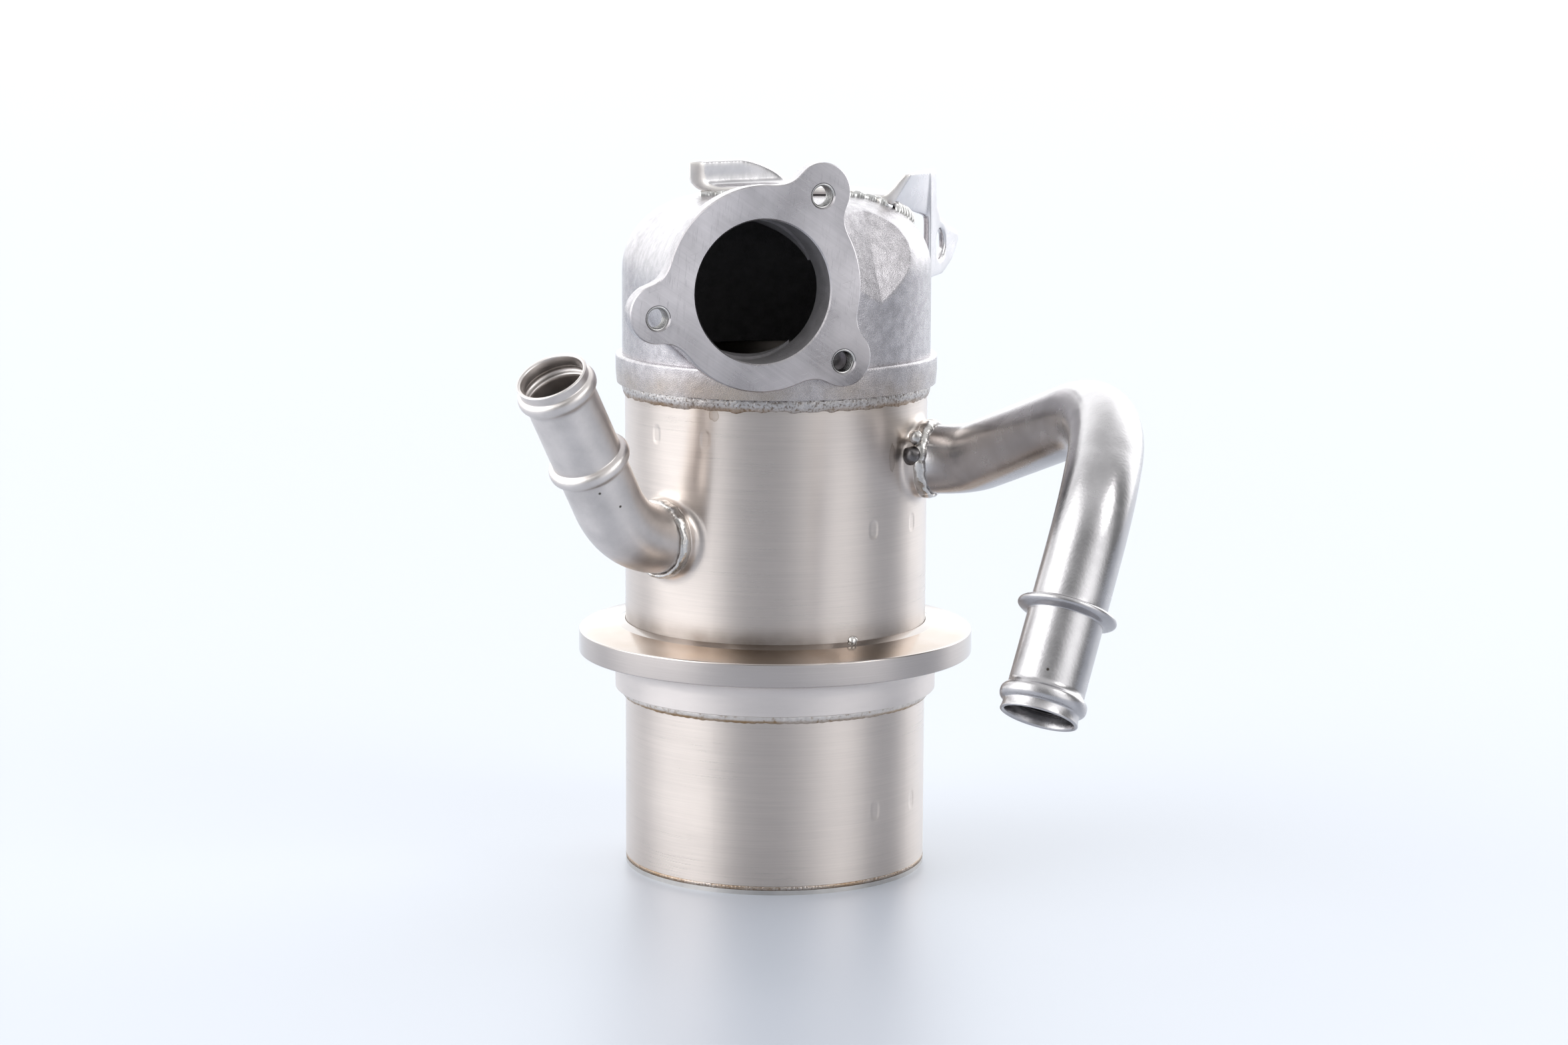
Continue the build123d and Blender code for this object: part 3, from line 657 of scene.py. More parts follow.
def flange_skin(rows, count=480):
    """A closed skin with the flange's outline in each row."""
    edge = [(a, flange_reach(a)) for a in turns_of(count)]
    return capped_tube([[(PORT[0] + (reach + grow) * math.cos(a), y, PORT[2] + (reach + grow) * math.sin(a))
                         for a, reach in edge] for y, grow in rows])


def wedge(inset=0.0, size=60):
    """The block in front of both notch faces, or of faces that lie deeper by this much."""
    run = NOTCH_TURN / np.linalg.norm(NOTCH_TURN)
    flat, side = NOTCH_FACES
    along_flat = np.cross(flat, run)
    along_flat *= np.sign(along_flat @ side)
    along_side = np.cross(side, run)
    along_side *= np.sign(along_side @ flat)
    sink = np.linalg.solve(np.array([flat, side, run]), np.array([-inset, -inset, 0.0]))
    points = []
    for s in (-size, 1.5 * size):
        c = NOTCH_FOOT + sink + run * s
        points += [c, c + along_flat * size, c + (along_flat + along_side) * size, c + along_side * size]
    return points, BOX_FACES


def bake(thing):
    """Turns the object and its modifiers into one plain mesh."""
    bpy.context.view_layer.update()
    seen = thing.evaluated_get(bpy.context.evaluated_depsgraph_get())
    mesh = bpy.data.meshes.new_from_object(seen)
    thing.modifiers.clear()
    thing.data = mesh
    return thing


def soften(thing, voxel, rounds):
    """Fuses overlapping skins into one and rounds its corners, as a casting's are."""
    fuse = thing.modifiers.new("fuse", "REMESH")
    fuse.mode = "VOXEL"
    fuse.voxel_size = voxel * MM
    ease = thing.modifiers.new("ease", "SMOOTH")
    ease.factor = 0.5
    ease.iterations = rounds
    bake(thing)


def cut(thing, points, faces, spare=None, add=False):
    """Machines a shape away, all but a spare part of it, or adds it."""
    tool = object_from("tool", points, faces)
    outward(tool)
    if spare:
        cut(tool, *spare)
    change = thing.modifiers.new("change", "BOOLEAN")
    change.operation = "UNION" if add else "DIFFERENCE"
    change.solver = "MANIFOLD"
    change.object = tool
    bake(thing)
    bpy.data.objects.remove(tool)


def absorb(thing, others):
    """Joins other objects, each of one material at most, to this one."""
    work = bmesh.new()
    work.from_mesh(thing.data)
    metals = thing.data.materials
    for other in others:
        before = len(work.faces)
        work.from_mesh(other.data)
        work.faces.ensure_lookup_table()
        for metal in other.data.materials:
            if metals.find(metal.name) < 0:
                metals.append(metal)
            for face in work.faces[before:]:
                face.material_index = metals.find(metal.name)
        bpy.data.objects.remove(other)
    work.to_mesh(thing.data)
    work.free()


def sand_cast(name, colour, roughness, grain, strength, metal=1.0):
    """Sand skin: fine pits and bumps, and larger soft waves."""
    cast, shader, place = new_metal(name, metal)
    fine = noise(place, grain, 3.0, 0.55)
    broad = noise(place, grain / 9)
    height = calc("ADD", fine, calc("MULTIPLY", broad, 0.7))
    feed(shader, {
        "Base Color": ramp(broad, shades(colour, (0.35, 0.86), (0.65, 1.08))),
        "Roughness": spread(fine, 0.3, 0.7, roughness * 0.85, roughness * 1.2),
        "Normal": relief(height, strength, 0.11)})
    return cast


def machined(name, colour, roughness, turn):
    """A face turned round the port, with fine tool lines and a few handling scratches."""
    steel, shader, place = new_metal(name)

    def stretched(lean, scale):
        return mapped(place, "TEXTURE", Rotation=(0, lean, 0), Scale=scale)

    from_port = vector_calc("SUBTRACT", place, tuple(PORT * MM))
    round_port = vector_calc("CROSS_PRODUCT", from_port, (0, 1, 0))
    grain = noise(stretched(turn, (0.06, 1, 0.0012)), 1.6, 4.0)
    mixed = blend(grain, noise(place, 46.0, 3.0), 0.18)
    height = calc("MULTIPLY", grain, 0.12)
    for lean, across, rare in SCRATCHES:
        mark = noise(stretched(lean, (across, 1, 0.006)), 1.0, 0.0)
        line = ramp(mark, [(rare - 0.03, 0.0), (rare + 0.02, 1.0)])
        height = calc("SUBTRACT", height, calc("MULTIPLY", line, 0.5))
    feed(shader, {
        "Base Color": ramp(mixed, shades(colour, (0.36, 0.68), (0.62, 1.12))),
        "Roughness": spread(mixed, 0.3, 0.7, roughness * 0.8, roughness * 1.25),
        "Anisotropic": 0.7, "Tangent": round_port, "Normal": relief(height, 1.0, 0.03)})
    return steel


def head_finish(face):
    """The finish of one face of the head, by where it lies and, inside, which way it looks."""
    centre, normal = np.array(face.center) / MM, np.array(face.normal)
    off = centre - PORT
    reach, round_axis = math.hypot(off[0], off[2]), math.hypot(centre[0], centre[1])
    in_ear = any(math.hypot(off[0] - x, off[2] - z) < EAR_HOLE_R + 0.65 for x, z in EARS)
    if off[1] < 0.2 or (in_ear and off[1] < EAR_HOLE_DEEP + 0.1):
        return MILLED
    if reach < PORT_R + 0.3 and off[1] < PORT_DEEP + 0.1:
        return INSIDE_SHADE
    if centre[2] < COLLAR_LOW + 0.02 or (round_axis < SOCKET_R + 0.05 and centre[2] < SOCKET_HIGH + 0.08):
        return MILLED
    narrow = THROAT[1][2] - 0.5
    inwards = np.array((-centre[0], -centre[1], np.clip(centre[2], 138, 158) - centre[2]))
    chamber = (round_axis < HEAD_R - HEAD_WALL + 0.2 and centre[2] < HEAD_TOP - HEAD_WALL + 0.15
               and centre[1] > HEAD_WALL - HEAD_R - 0.1 and normal @ inwards > 0
               and (reach > narrow or centre[1] > 0))
    throat = (reach < THROAT[0][2] + 0.1 and centre[1] < 0
              and (reach < narrow or normal @ np.array((-off[0], 0, -off[2])) > 0))
    return INSIDE_SHADE if chamber or throat else SKIN


def crisp_notch(head):
    """Keeps the edges of the two notch faces sharp."""
    work = bmesh.new()
    work.from_mesh(head.data)
    on = []
    for face in work.faces:
        normal, place = np.array(face.normal), np.array(face.calc_center_median()) / MM - NOTCH_FOOT
        on.append(next((k for k, n in enumerate(NOTCH_FACES, 1)
                        if normal @ n > 0.9995 and abs(place @ n + NOTCH_SINK) < 0.03), 0))
    for edge in work.edges:
        if len({on[face.index] for face in edge.link_faces}) > 1:
            edge.smooth = False
    work.to_mesh(head.data)
    work.free()


def gas_head():
    low = COLLAR_LOW - 0.6
    body = filled_lathe([(0, low), (COLLAR_R - 1.2, low), (HEAD_R, COLLAR_HIGH)] + crown(0.0, 145.0))
    spout = port_tube([(y, x, PORT[2], r) for y, x, r in SPOUT], cap=HEAD_TOP)
    head = object_from("gas_head_cast", *joined(body, spout))
    outward(head)
    soften(head, 0.8, 4)
    cut(head, *wedge())
    blank = object_from("blank", *flange_skin(FLANGE_BLANK))
    outward(blank)
    absorb(head, [blank])
    soften(head, 0.62, 5)
    cut(head, *wedge(NOTCH_SINK), spare=flange_skin(FLANGE_BLANK))
    low = COLLAR_LOW - 0.5
    collar = rounded([(0, low, 0), (COLLAR_R - 0.35, low, 0.5), (COLLAR_R, COLLAR_LOW + 3.5, 4.0),
                      (COLLAR_R, COLLAR_HIGH, 0.8), (0, COLLAR_HIGH + 0.1, 0)])
    cut(head, *filled_lathe(collar), add=True)
    corners = (-80, 100), (40, 100), (40, 220), (-80, 220)
    cut(head, [(x, y, z) for y in (-60, PORT[1] + 0.3) for x, z in corners], BOX_FACES)
    cut(head, *flange_skin(FACE_PLATE), add=True)
    cut(head, *cylinder(60, 120, COLLAR_LOW))
    cut(head, *cylinder(SOCKET_R, 120, SOCKET_HIGH))
    cut(head, *filled_lathe([(0, 130)] + crown(HEAD_WALL, 130)), spare=wedge(HEAD_WALL))
    cut(head, *port_tube([(y, x, PORT[2], r) for y, x, r in THROAT], 96))
    cut(head, *port_plug(PORT[0], PORT[2], PORT_R, PORT_DEEP, PORT_SINK))
    for x, z in EARS:
        cut(head, *port_plug(PORT[0] + x, PORT[2] + z, EAR_HOLE_R, EAR_HOLE_DEEP, EAR_HOLE_SINK))
    skin = sand_cast("sand_cast_skin", (0.46, 0.44, 0.455), 0.25, 3600.0, 1.0)
    # The last of these finishes is a dark grey cast for the chamber, throat and bore: painted shade for the
    # dark inside of the port.
    coat(head,
         heat_tinted(skin, (0.46, 0.385, 0.31), 0.75, start=137.5, full=131.0, stop=120.0),
         machined("milled_face", (0.50, 0.475, 0.485), 0.29, turn=0.6),
         sand_cast("shade_dark_casting", (0.2, 0.19, 0.195), 0.55, 2300.0, 0.9, metal=0.0))
    for face in head.data.polygons:
        face.material_index = head_finish(face)
    head.data.shade_smooth()
    crisp(head, 34)
    crisp_notch(head)
    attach(head, "root")
    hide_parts("gas_head")


gas_head()

# Coolant pipes.
# Stainless tube, 18 mm outside with a 1 mm wall, bent cold round a mandrel. Each has a stop bead and an end
# bead rolled into its open end for the hose, and sits in a drawn neck of the shell.
PIPE_R, PIPE_BORE_R, PIPE_START = 9.0, 8.0, 38.2
PIPE_STEPS_AROUND = 72
LIP_RUN, LIP_HIGH = 2.2, 0.35
END_BEAD = {"back": 4.4, "height": 1.3, "width": 3.6}
SHORT_STOP = {"back": 27.5, "height": 1.7, "width": 3.8}
LONG_STOP = {"back": 26.0, "height": 2.8, "width": 2.6}


def straight_start(side, corner):
    """The pipe's first run, out of its neck and square to the shell, as far as its first corner."""
    azimuth, height = NECKS[side]
    return [directions(azimuth)[0] * reach + (0, 0, height) for reach in (PIPE_START, corner)]


SHORT_ROUTE = straight_start("short", 54.9) + [np.array((-75.2, -39.2, 138.5))]
LONG_ROUTE = straight_start("long", 52.9) + [
    np.array((43.1, -113.6, 135.7)), np.array((25.2, -140.2, 115.2)), np.array((4.2, -154.9, 69.6))]
SHORT_BENDS, LONG_BENDS = (25.6,), (24.4, 38.0, 40.0)


def bent_route(corners, bends):
    """Points along straight runs and bends, and their distances from the start."""
    points = [corners[0]]
    for before, corner, after, bend in zip(corners, corners[1:], corners[2:], bends):
        a = (before - corner) / np.linalg.norm(before - corner)
        b = (after - corner) / np.linalg.norm(after - corner)
        turn = math.pi - math.acos(float(a @ b))
        back = bend * math.tan(turn / 2)
        middle = (a + b) / np.linalg.norm(a + b) * bend / math.cos(turn / 2) + corner
        start, end = corner + a * back - middle, corner + b * back - middle
        for s in np.linspace(0, 1, max(4, int(bend * turn / 0.9)) + 1):
            arm = math.sin((1 - s) * turn) * start + math.sin(s * turn) * end
            points.append(middle + arm / math.sin(turn))
    points.append(corners[-1])
    points = np.array(points)
    reach = np.concatenate([[0], np.cumsum(np.linalg.norm(np.diff(points, axis=0), axis=1))])
    return points, reach


def rolled_wall(distance, stop, fold):
    """How far the wall stands out at this distance from the mouth, in its beads and at its lip."""
    rise = np.zeros_like(distance)
    for bead in (stop, END_BEAD):
        half = bead["width"] / 2 - fold
        away = np.clip(np.abs(distance - bead["back"]) / half, 0, 1)
        rise = np.maximum(rise, bead["height"] * (1 - away ** 2.4) ** 0.55)
    lip = np.clip(1 - distance / LIP_RUN, 0, 1)
    return np.maximum(rise, LIP_HIGH * lip * lip)


def guide_line(name, places, closed, **values):
    """A line through places in millimetres, with a number or a direction under each name at each place."""
    mesh = bpy.data.meshes.new(name)
    count = len(places)
    edges = [(i, (i + 1) % count) for i in range(count if closed else count - 1)]
    mesh.from_pydata([tuple(p) for p in np.asarray(places) * MM], edges, [])
    for label, row in values.items():
        row = np.asarray(row, np.float32)
        kind, field = ("FLOAT", "value") if row.ndim == 1 else ("FLOAT_VECTOR", "vector")
        mesh.attributes.new(label, kind, "POINT").data.foreach_set(field, row.reshape(-1))
    return placed(name, mesh)


def pipe_path(name, route, bends, stop):
    """The centre line, with the radii of the outer skin and of the bore at each point."""
    centre, reach = bent_route(route, bends)
    total = reach[-1]
    samples = [0.0, 0.12, 0.3, 0.6]
    s = samples[-1]
    while s < total:
        back = total - s
        to_bead = min(abs(back - bead["back"]) - bead["width"] / 2 for bead in (stop, END_BEAD))
        near = min(to_bead, back - 1.6)
        s += 0.13 if near < 0.5 else (0.9 if near < 6 else 1.1)
        samples.append(min(s, total))
    samples = np.array(sorted(set(samples + [total - 0.1, total - 0.22, total])))
    path = np.stack([np.interp(samples, reach, centre[:, k]) for k in range(3)], 1)
    fine = np.linspace(0, total, int(total / 0.06))
    soft = np.exp(-np.linspace(-2.2, 2.2, 13) ** 2)
    soft /= soft.sum()

    def smoothed(line):
        return np.interp(samples, fine, np.convolve(np.pad(line, 6, "edge"), soft, "valid"))

    outer = smoothed(PIPE_R + rolled_wall(total - fine, stop, 0.0))
    bore = smoothed(PIPE_BORE_R + rolled_wall(total - fine, stop, 0.55) * 0.94)
    end = np.minimum(samples, total - samples)
    edge = 0.5 - np.sqrt(np.clip(0.25 - (0.5 - np.clip(end / 0.45, 0, 1) * 0.5) ** 2, 0, 1))
    middle = (outer + bore) / 2
    outer, bore = (skin + (middle - skin) * 2 * edge * 0.98 for skin in (outer, bore))
    return guide_line(name, path, False, tube_radius=outer * MM, bore_radius=bore * MM)


def tree_of(name, inputs):
    """A Geometry Nodes tree with named inputs. Returns the tree and what comes in, by name."""
    tree = bpy.data.node_groups.new(name, "GeometryNodeTree")
    tree.interface.new_socket("Geometry", in_out="INPUT", socket_type="NodeSocketGeometry")
    for label, kind, value in inputs:
        socket = tree.interface.new_socket(label, in_out="INPUT", socket_type="NodeSocket" + kind)
        if value is not None:
            socket.default_value = value
    tree.interface.new_socket("Finish", in_out="INPUT", socket_type="NodeSocketMaterial")
    tree.interface.new_socket("Geometry", in_out="OUTPUT", socket_type="NodeSocketGeometry")
    return tree, add_node(tree, "NodeGroupInput").outputs


def handed_out(tree, given, mesh):
    """Gives the mesh its finish and hands it out of the tree, with its instances made real."""
    coated = result(tree, "GeometryNodeSetMaterial", {"Geometry": mesh, "Material": given["Finish"]})
    add_node(tree, "NodeGroupOutput", {0: result(tree, "GeometryNodeRealizeInstances", {0: coated})})
    return tree


def named_value(tree, label, kind):
    node = add_node(tree, "GeometryNodeInputNamedAttribute", {"Name": label}, data_type=kind)
    return node.outputs["Attribute"]


def grown(thing, tree, values):
    """Runs a tree on an object with these inputs and keeps the result as a plain mesh."""
    run = thing.modifiers.new(tree.name, "NODES")
    run.node_group = tree
    for item in tree.interface.items_tree:
        if item.in_out == "INPUT" and item.name in values:
            run[item.identifier] = values[item.name]
    return bake(thing)


def hose_pipe_tree():
    """Sweeps an outer skin and a bore along one path; their ends meet in the middle of the wall."""
    tree, given = tree_of("hose_pipe", [("Around", "Int", PIPE_STEPS_AROUND)])
    curve = result(tree, "GeometryNodeMeshToCurve", {"Mesh": given["Geometry"]})
    ring = result(tree, "GeometryNodeCurvePrimitiveCircle", {"Radius": 1.0, "Resolution": given["Around"]})
    both = add_node(tree, "GeometryNodeJoinGeometry")
    for label, inside in (("tube_radius", False), ("bore_radius", True)):
        radius = named_value(tree, label, "FLOAT")
        size = result(tree, "GeometryNodeSetCurveRadius", {"Curve": curve, "Radius": radius})
        skin = result(tree, "GeometryNodeCurveToMesh", {
            "Curve": size, "Profile Curve": ring, "Scale": radius})
        feed(both, {0: result(tree, "GeometryNodeFlipFaces", {0: skin}) if inside else skin})
    weld = result(tree, "GeometryNodeMergeByDistance", {0: both.outputs[0], "Distance": 0.02 * MM})
    return handed_out(tree, given, weld)


def satin_steel(name, colour, roughness):
    """Pickled steel: soft and even, with faint clouds and a few dark specks."""
    steel, shader, place = new_metal(name)
    cloud = noise(place, 90.0, 5.0, 0.6)
    tone = ramp(cloud, shades(colour, (0.3, 0.84), (0.7, 1.1)))
    specks = add_node(steel.node_tree, "ShaderNodeTexVoronoi", {
        "Vector": place, "Scale": 75.0, "Randomness": 1.0})
    clear = ramp(specks.outputs["Distance"], [(0.018, 0.0), (0.034, 1.0)])
    feed(shader, {
        "Base Color": mixed_colour(clear, (0.10, 0.085, 0.07, 1), tone),
        "Roughness": spread(cloud, 0.3, 0.7, roughness * 0.82, roughness * 1.2)})
    return steel, shader, place


def satin_tube(name, colour, roughness):
    """Satin tube with the fine grain of drawing."""
    steel, shader, place = satin_steel(name, colour, roughness)
    feed(shader, {"Normal": relief(noise(place, 1400.0), 0.4, 0.06)})
    return steel


def hose_pipe(name, route, bends, stop, finish):
    path = pipe_path(name + "_bent", route, bends, stop)
    pipe = grown(path, PIPE_TREE, {"Around": PIPE_STEPS_AROUND, "Finish": finish})
    coat(pipe, finish)
    pipe.data.shade_smooth()
    outward(pipe)
    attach(pipe, "root")
    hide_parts(name)


PIPE_TREE = hose_pipe_tree()
# Both pipes are the same tube; the long pipe's darker colour is painted shade.
hose_pipe("short_pipe", SHORT_ROUTE, SHORT_BENDS, SHORT_STOP,
          satin_tube("short_pipe_satin", (0.72, 0.675, 0.65), 0.37))
hose_pipe("long_pipe", LONG_ROUTE, LONG_BENDS, LONG_STOP,
          satin_tube("long_pipe_shaded_satin", (0.50, 0.485, 0.49), 0.25))

# Weld beads.
# Laid by hand or by a turning jig with filler wire, so each bead is a row of overlapping ripples and its
# width wanders a little. All are made by one tree from a path, the two directions that it spreads in, and
# its sizes. A few drops of the same metal lie beside them, and one dark drop that is painted shade for a
# small crater.
NECK_WELD_R, NECK_WELD_REACH = 9.5, 42.9


def weld_bead_tree():
    tree, given = tree_of("weld_bead", [
        ("Width", "Float", 1.0), ("Height", "Float", 1.0), ("Along", "Int", 400), ("Around", "Int", 20),
        ("Ripples", "Float", 60.0), ("Ripple depth", "Float", 0.12), ("Unevenness", "Float", 0.2),
        ("Taper", "Float", 0.0), ("Seed", "Float", 1.0)])
    curve = result(tree, "GeometryNodeMeshToCurve", {"Mesh": given["Geometry"]})
    grid = result(tree, "GeometryNodeMeshGrid", {
        "Size X": 1.0, "Size Y": 1.0, "Vertices X": given["Along"], "Vertices Y": given["Around"]})
    flat = result(tree, "GeometryNodeInputPosition")
    x, y, _ = add_node(tree, "ShaderNodeSeparateXYZ", {0: flat}).outputs
    share = calc("ADD", x, 0.5, clamp=True)
    turn = calc("MULTIPLY", calc("ADD", y, 0.5), 2 * math.pi)
    taken = {}
    for label in ("across", "away"):
        sample = add_node(tree, "GeometryNodeSampleCurve", {"Curves": curve, "Factor": share},
                          mode="FACTOR", data_type="FLOAT_VECTOR", use_all_curves=False)
        feed(sample, {"Value": named_value(tree, label, "FLOAT_VECTOR")})
        taken[label] = sample.outputs["Value"]
    place = sample.outputs["Position"]
    bumps = result(tree, "ShaderNodeTexNoise", {
        "Vector": place, "W": given["Seed"], "Scale": 260.0, "Detail": 3.0}, noise_dimensions="4D")
    wander = calc("MULTIPLY", calc("SUBTRACT", bumps, 0.5), calc("MULTIPLY", given["Unevenness"], 2.0))
    bow = calc("MULTIPLY", calc("ABSOLUTE", calc("COSINE", turn)), 1.9)
    phase = calc("ADD", calc("MULTIPLY", share, calc("MULTIPLY", given["Ripples"], math.pi)), bow)
    wave = calc("SUBTRACT", calc("ABSOLUTE", calc("SINE", phase)), 0.6)
    swell = calc("ADD", 1.0, calc("ADD", wander, calc("MULTIPLY", wave, given["Ripple depth"])))
    ends = calc("MULTIPLY", calc("MINIMUM", share, calc("SUBTRACT", 1.0, share)), 12.0, clamp=True)
    closing = calc("MULTIPLY", calc("POWER", ends, 0.5), given["Taper"])
    taper = calc("ADD", closing, calc("SUBTRACT", 1.0, given["Taper"]))
    size = calc("MULTIPLY", swell, taper)
    sideways = calc("MULTIPLY", calc("MULTIPLY", calc("COSINE", turn), given["Width"]), size)
    outwards = calc("MULTIPLY", calc("MULTIPLY", calc("SINE", turn), given["Height"]), size)
    aside = vector_calc("SCALE", taken["across"], sideways)
    out = vector_calc("SCALE", taken["away"], outwards)
    spot = vector_calc("ADD", place, vector_calc("ADD", aside, out))
    laid = result(tree, "GeometryNodeSetPosition", {"Geometry": grid, "Position": spot})
    closed = result(tree, "GeometryNodeMergeByDistance", {0: laid, "Distance": 0.01 * MM})
    return handed_out(tree, given, closed)


def weld_metal(name, colour, roughness, edge, edge_share, scale=420.0, bump=0.35):
    """Fresh weld: shiny ripples, with darker oxide in patches."""
    metal, shader, place = new_metal(name)
    cloud = noise(place, scale, 4.0)
    stops = [(edge_share - 0.1, edge), (edge_share + 0.08, colour)] + shades(colour, (0.85, 1.15))
    feed(shader, {
        "Base Color": ramp(cloud, stops),
        "Roughness": spread(cloud, 0.3, 0.7, roughness * 1.4, roughness * 0.7),
        "Normal": relief(cloud, bump, 0.2)})
    return metal


def lay_bead(name, places, across, away, closed, metal, width, height, ripples, depth, uneven, seed, along,
             around=20):
    """A bead along a line. Across and away are the two directions it spreads in at each place."""
    bead = grown(guide_line(name, places, closed, across=across, away=away), WELD_TREE, {
        "Width": width * MM, "Height": height * MM, "Along": along, "Around": around,
        "Ripples": float(ripples), "Ripple depth": depth, "Unevenness": uneven,
        "Taper": 0.0 if closed else 1.0, "Seed": seed, "Finish": metal})
    coat(bead, metal)
    return bead


def weld_piece(bead, node):
    outward(bead)
    bead.data.shade_smooth()
    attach(bead, "root")
    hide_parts(node)


def round_bead(node, radius, level, lean, metal, **sizes):
    """A bead round the Z axis. It leans out by this many degrees from straight down."""
    out = np.array([directions(turn)[0] for turn in range(360)])
    up = np.array((0, 0, 1.0))
    a = math.radians(lean)
    away = math.sin(a) * out - math.cos(a) * up
    across = math.cos(a) * out + math.sin(a) * up
    bead = lay_bead(node + "_line", out * radius + up * level, across, away, True, metal, along=900, **sizes)
    weld_piece(bead, node)


def neck_bead(side, seed):
    """A bead round a pipe, on the lip of its neck."""
    azimuth, height = NECKS[side]
    node = side + "_neck_weld"
    out, aside, up = directions(azimuth)
    turns = turns_of(180)
    ring = np.outer(np.sin(turns), aside) + np.outer(np.cos(turns), up)
    places = out * NECK_WELD_REACH + up * height + ring * NECK_WELD_R
    bead = lay_bead(node + "_line", places, np.tile(out, (len(turns), 1)), ring, True, PIPE_WELD, width=1.75,
                    height=0.85, ripples=15, depth=0.14, uneven=0.42, seed=seed, along=520)
    weld_piece(bead, node)


def drop(place, out, size, flat, metal):
    """A small drop of metal that stands out this way."""
    out = np.array(out) / np.linalg.norm(out)
    side = np.cross(out, (0, 0, 1.0))
    side /= np.linalg.norm(side)
    up = np.cross(side, out)
    rings = []
    for k in range(1, 14):
        a = math.pi * k / 14
        rings.append([])
        for b in turns_of(28):
            wide = size * math.sin(a) * (1 + 0.08 * math.sin(3 * b + k))
            round_it = side * math.cos(b) + up * math.sin(b)
            rings[-1].append(place + out * math.cos(a) * flat + round_it * wide)
    thing = object_from("drop", *capped_tube(rings))
    outward(thing)
    coat(thing, metal)
    return thing


WELD_TREE = weld_bead_tree()
PIPE_WELD = weld_metal("pipe_weld_metal", (0.60, 0.575, 0.55), 0.24, (0.30, 0.26, 0.22), 0.34)
RING_WELD = weld_metal("frosty_weld_metal", (0.66, 0.615, 0.58), 0.42, (0.40, 0.31, 0.22), 0.36,
                       scale=900.0, bump=0.6)
HEAD_WELD = weld_metal("scaly_weld_metal", (0.50, 0.475, 0.465), 0.34, (0.20, 0.165, 0.14), 0.42,
                       scale=1500.0, bump=0.9)
# A dark weld metal that is painted shade: it stands in for the shade in a small crater.
CRATER_SHADE_METAL = weld_metal("crater_shade_pit", (0.16, 0.15, 0.15), 0.3, (0.05, 0.045, 0.045), 0.4)
heat_tinted(HEAD_WELD, (0.30, 0.195, 0.11), 1.0, start=127.9, full=126.7)
heat_tinted(RING_WELD, (0.38, 0.25, 0.13), 1.0, start=46.7, full=46.0)
round_bead("head_weld", 39.95, 127.95, 82, HEAD_WELD,
           width=1.85, height=0.62, ripples=70, depth=0.1, uneven=0.6, seed=3.1)
round_bead("ring_weld", 40.4, 46.8, 62, RING_WELD,
           width=1.45, height=0.8, ripples=110, depth=0.12, uneven=0.3, seed=7.7)
round_bead("foot_weld", 39.55, 1.72, 90, HEAD_WELD,
           width=0.62, height=0.47, ripples=240, depth=0.1, uneven=0.22, seed=5.3)
neck_bead("short", seed=2.2)
neck_bead("long", seed=4.4)

LONG_OUT, LONG_BACK, _ = directions(NECKS["long"][0])
SPATTER = directions(8.6)[0]
absorb(bpy.data.objects["long_neck_weld_line"], [
    # This dark drop is painted shade for a small crater beside the long neck's bead.
    drop(LONG_OUT * 41.1 - LONG_BACK * 9.6 + (0, 0, 113.0), -LONG_BACK, 2.5, 1.7, CRATER_SHADE_METAL),
    drop(LONG_OUT * 42.2 - LONG_BACK * 9.6 + (0, 0, 117.9), -LONG_BACK, 1.8, 1.3, PIPE_WELD)])
absorb(bpy.data.objects["shell_skin"], [
    drop(SPATTER * 40.2 + (0, 0, 66.6), SPATTER + (0, 0, 0.6), 1.25, 0.8, PIPE_WELD)])

# Mounting bracket.
# One pressed sheet of 2.2 mm stainless, laid on the crown and welded to it. Its left edge is bent up into a
# curved wall, and its right edge into an ear that ends in an upright lug with a bolt hole.
BRACKET_TURN = math.radians(-21.4)
SHEARED_EDGE = 3.3


def turned_place(x, y, z):
    """A place or direction in the bracket's own frame, turned into the cooler's."""
    c, s = math.cos(BRACKET_TURN), math.sin(BRACKET_TURN)
    return np.array((x * c - y * s, x * s + y * c, z))


def pressed_sheet(name, colour, roughness):
    """Tumbled sheet: satin, with fine grit and small dents."""
    steel, shader, place = satin_steel(name, colour, roughness)
    grit, dents = noise(place, 700.0, 4.0), noise(place, 160.0)
    height = calc("ADD", calc("MULTIPLY", grit, 0.25), dents)
    feed(shader, {"Normal": relief(height, 0.22, 0.3)})
    return steel


def mounting_bracket():
    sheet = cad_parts["mounting_bracket"].copy()
    sheet.data = sheet.data.copy()
    sheet.name = "mounting_bracket_pressed"
    for key in list(sheet.keys()):
        del sheet[key]
    sheet.parent = None
    bpy.context.scene.collection.objects.link(sheet)
    outward(sheet)
    sheet.data.transform(Matrix.Rotation(-BRACKET_TURN, 4, "Z"))
    soften(sheet, 0.31, 50)
    sheet.data.transform(Matrix.Rotation(BRACKET_TURN, 4, "Z"))
    coat(sheet, pressed_sheet("pressed_sheet_steel", (0.72, 0.70, 0.71), 0.26),
         pressed_sheet("sheared_edge_highlight_steel", (0.86, 0.82, 0.79), 0.45))
    # Front edge faces that look towards the camera get a lighter, rougher finish: partly the real sheared
    # edge, partly a painted highlight.
    towards = Vector(turned_place(0, -1, 0))
    for face in sheet.data.polygons:
        face.material_index = int(towards @ face.normal > 0.6 and towards @ face.center > SHEARED_EDGE * MM)
    sheet.data.shade_smooth()
    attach(sheet, "root")
    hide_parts("mounting_bracket")


mounting_bracket()

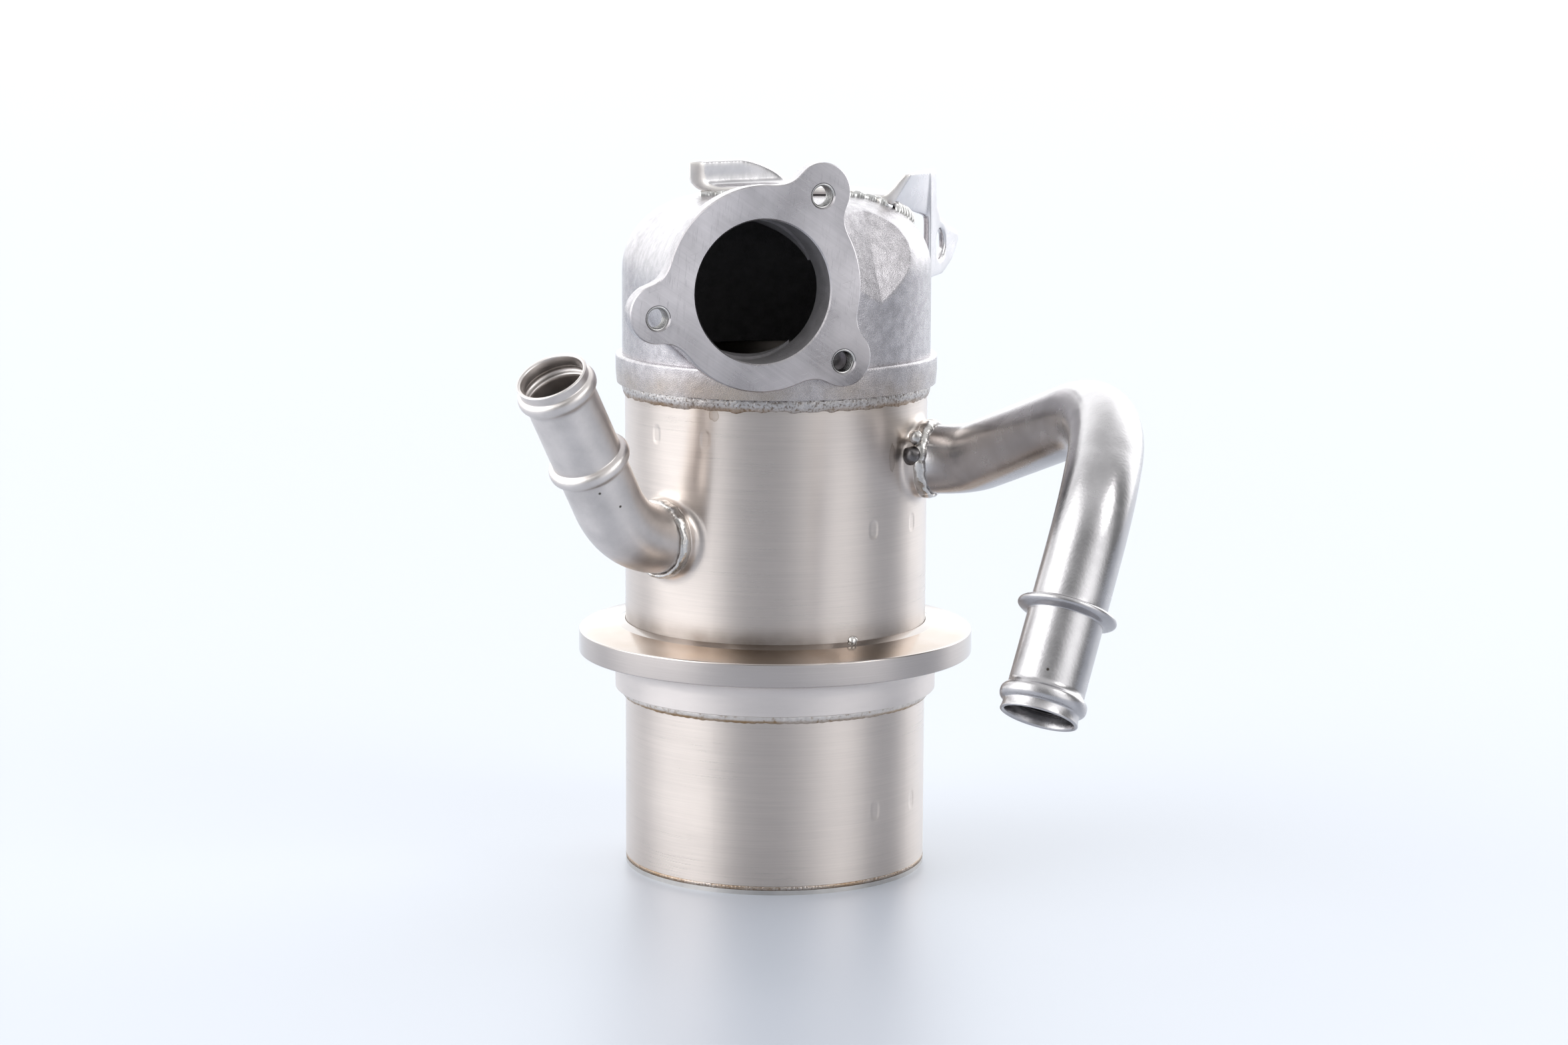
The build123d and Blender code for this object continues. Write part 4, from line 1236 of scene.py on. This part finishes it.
# Bracket welds.
# Short beads laid by hand: two lumps under the front edge, on either side of the port's top ear, and one
# bead of stacked scales between the bracket's ear and the shoulder of the head.
BRACKET_WELD = weld_metal("bracket_weld_metal", (0.66, 0.65, 0.635), 0.2, (0.28, 0.25, 0.22), 0.33)


def crown_height(reach):
    """The height of the head's crown at this distance from its axis."""
    out = max(reach - HEAD_FLAT, 0.0) / (HEAD_R - HEAD_FLAT)
    return HEAD_SPRING + (HEAD_TOP - HEAD_SPRING) * math.sqrt(max(0.0, 1 - out ** 2))


def hand_bead(name, start, end, lift, away, **sizes):
    """A short bead over the crown between two places in the bracket's frame."""
    places = []
    for s in np.linspace(0, 1, 40):
        x, y = (1 - s) * start[0] + s * end[0], (1 - s) * start[1] + s * end[1]
        places.append(turned_place(x, y, crown_height(math.hypot(x, y)) + lift))
    run = places[-1] - places[0]
    run /= np.linalg.norm(run)
    out = turned_place(*away)
    out -= run * (out @ run)
    out /= np.linalg.norm(out)
    across = np.cross(run, out)
    return lay_bead(name, places, np.tile(across, (40, 1)), np.tile(out, (40, 1)), False, BRACKET_WELD,
                    around=22, **sizes)


def welded_on(node, beads):
    """Joins the beads into one piece that stands for the node."""
    piece = placed(node + "_beads", bpy.data.meshes.new(node + "_beads"))
    absorb(piece, beads)
    weld_piece(piece, node)


welded_on("bracket_front_weld", [
    hand_bead("left_lump", (-20.6, -3.9), (-12.5, -4.3), -0.2, (0, -1, 0.2),
              width=1.4, height=0.95, ripples=2.3, depth=0.2, uneven=0.6, seed=1.7, along=90),
    hand_bead("right_lump", (18.2, -4.4), (29.2, -4.4), 0.0, (0, -1, 0.25),
              width=1.6, height=1.05, ripples=3.6, depth=0.2, uneven=0.75, seed=6.1, along=120)])
welded_on("bracket_side_weld", [
    hand_bead("scaled_bead", (30.9, -3.4), (35.6, 2.6), 0.2, (0.8, -0.5, 0.5),
              width=2.5, height=1.15, ripples=7, depth=0.2, uneven=0.4, seed=8.8, along=160)])

# Threads.
# M6 threads tapped through the port's ears. Each is a ridge that winds down the wall of its hole.
THREADS = [(PORT[0] + x, PORT[1] + 0.35, PORT[2] + z) for x, z in EARS]


def tapped_thread_tree():
    tree, given = tree_of("tapped_thread", [
        ("Turns", "Float", 4.6), ("Pitch", "Float", 1.0 * MM), ("Wall radius", "Float", EAR_HOLE_R * MM),
        ("Ridge", "Float", 0.46 * MM)])
    wall = given["Wall radius"]
    spiral = result(tree, "GeometryNodeCurveSpiral", {
        "Resolution": 40, "Rotations": given["Turns"], "Start Radius": wall, "End Radius": wall,
        "Height": calc("MULTIPLY", given["Turns"], given["Pitch"])})
    upright = result(tree, "GeometryNodeSetCurveNormal", {"Curve": spiral}, mode="Z_UP")
    vee = result(tree, "GeometryNodeCurvePrimitiveCircle", {"Resolution": 4, "Radius": given["Ridge"]})
    ridge = result(tree, "GeometryNodeCurveToMesh", {
        "Curve": upright, "Profile Curve": vee, "Fill Caps": True})
    down = result(tree, "GeometryNodeTransform", {"Geometry": ridge, "Rotation": (math.radians(-90), 0, 0)})
    spots = result(tree, "GeometryNodeMeshToPoints", {"Mesh": given["Geometry"]})
    tapped = result(tree, "GeometryNodeInstanceOnPoints", {"Points": spots, "Instance": down})
    return handed_out(tree, given, tapped)


def ear_threads():
    metal = brushed_steel("cut_thread", (0.50, 0.49, 0.48), 0.26, bump=0.05)
    thing = grown(guide_line("ear_threads", THREADS, False), tapped_thread_tree(), {"Finish": metal})
    coat(thing, metal)
    outward(thing)
    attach(thing, "root")


ear_threads()

# Gas bundle.
# Seven flat tubes of thin stainless run through two pressed headers and four baffles, all brazed in a
# furnace. They show only at the foot and deep in the port, with a dull grey skin. The upper header and the
# tubes are coloured dark grey as painted shade for their place deep in the port.
BUNDLE = {
    "lower_header": pressed_sheet("foot_pressing", (0.58, 0.56, 0.54), 0.32),
    # The dark grey of the upper header and the tubes is painted shade for their place deep in the port.
    "upper_header": pressed_sheet("shade_dark_header", (0.16, 0.155, 0.15), 0.5),
    "gas_tube": pressed_sheet("shade_dark_tube", (0.17, 0.165, 0.16), 0.45),
    "baffle": pressed_sheet("dull_baffle", (0.42, 0.41, 0.40), 0.4)}
for name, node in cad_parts.items():
    for kind, finish in BUNDLE.items():
        if name.startswith(kind):
            coat(node, finish)
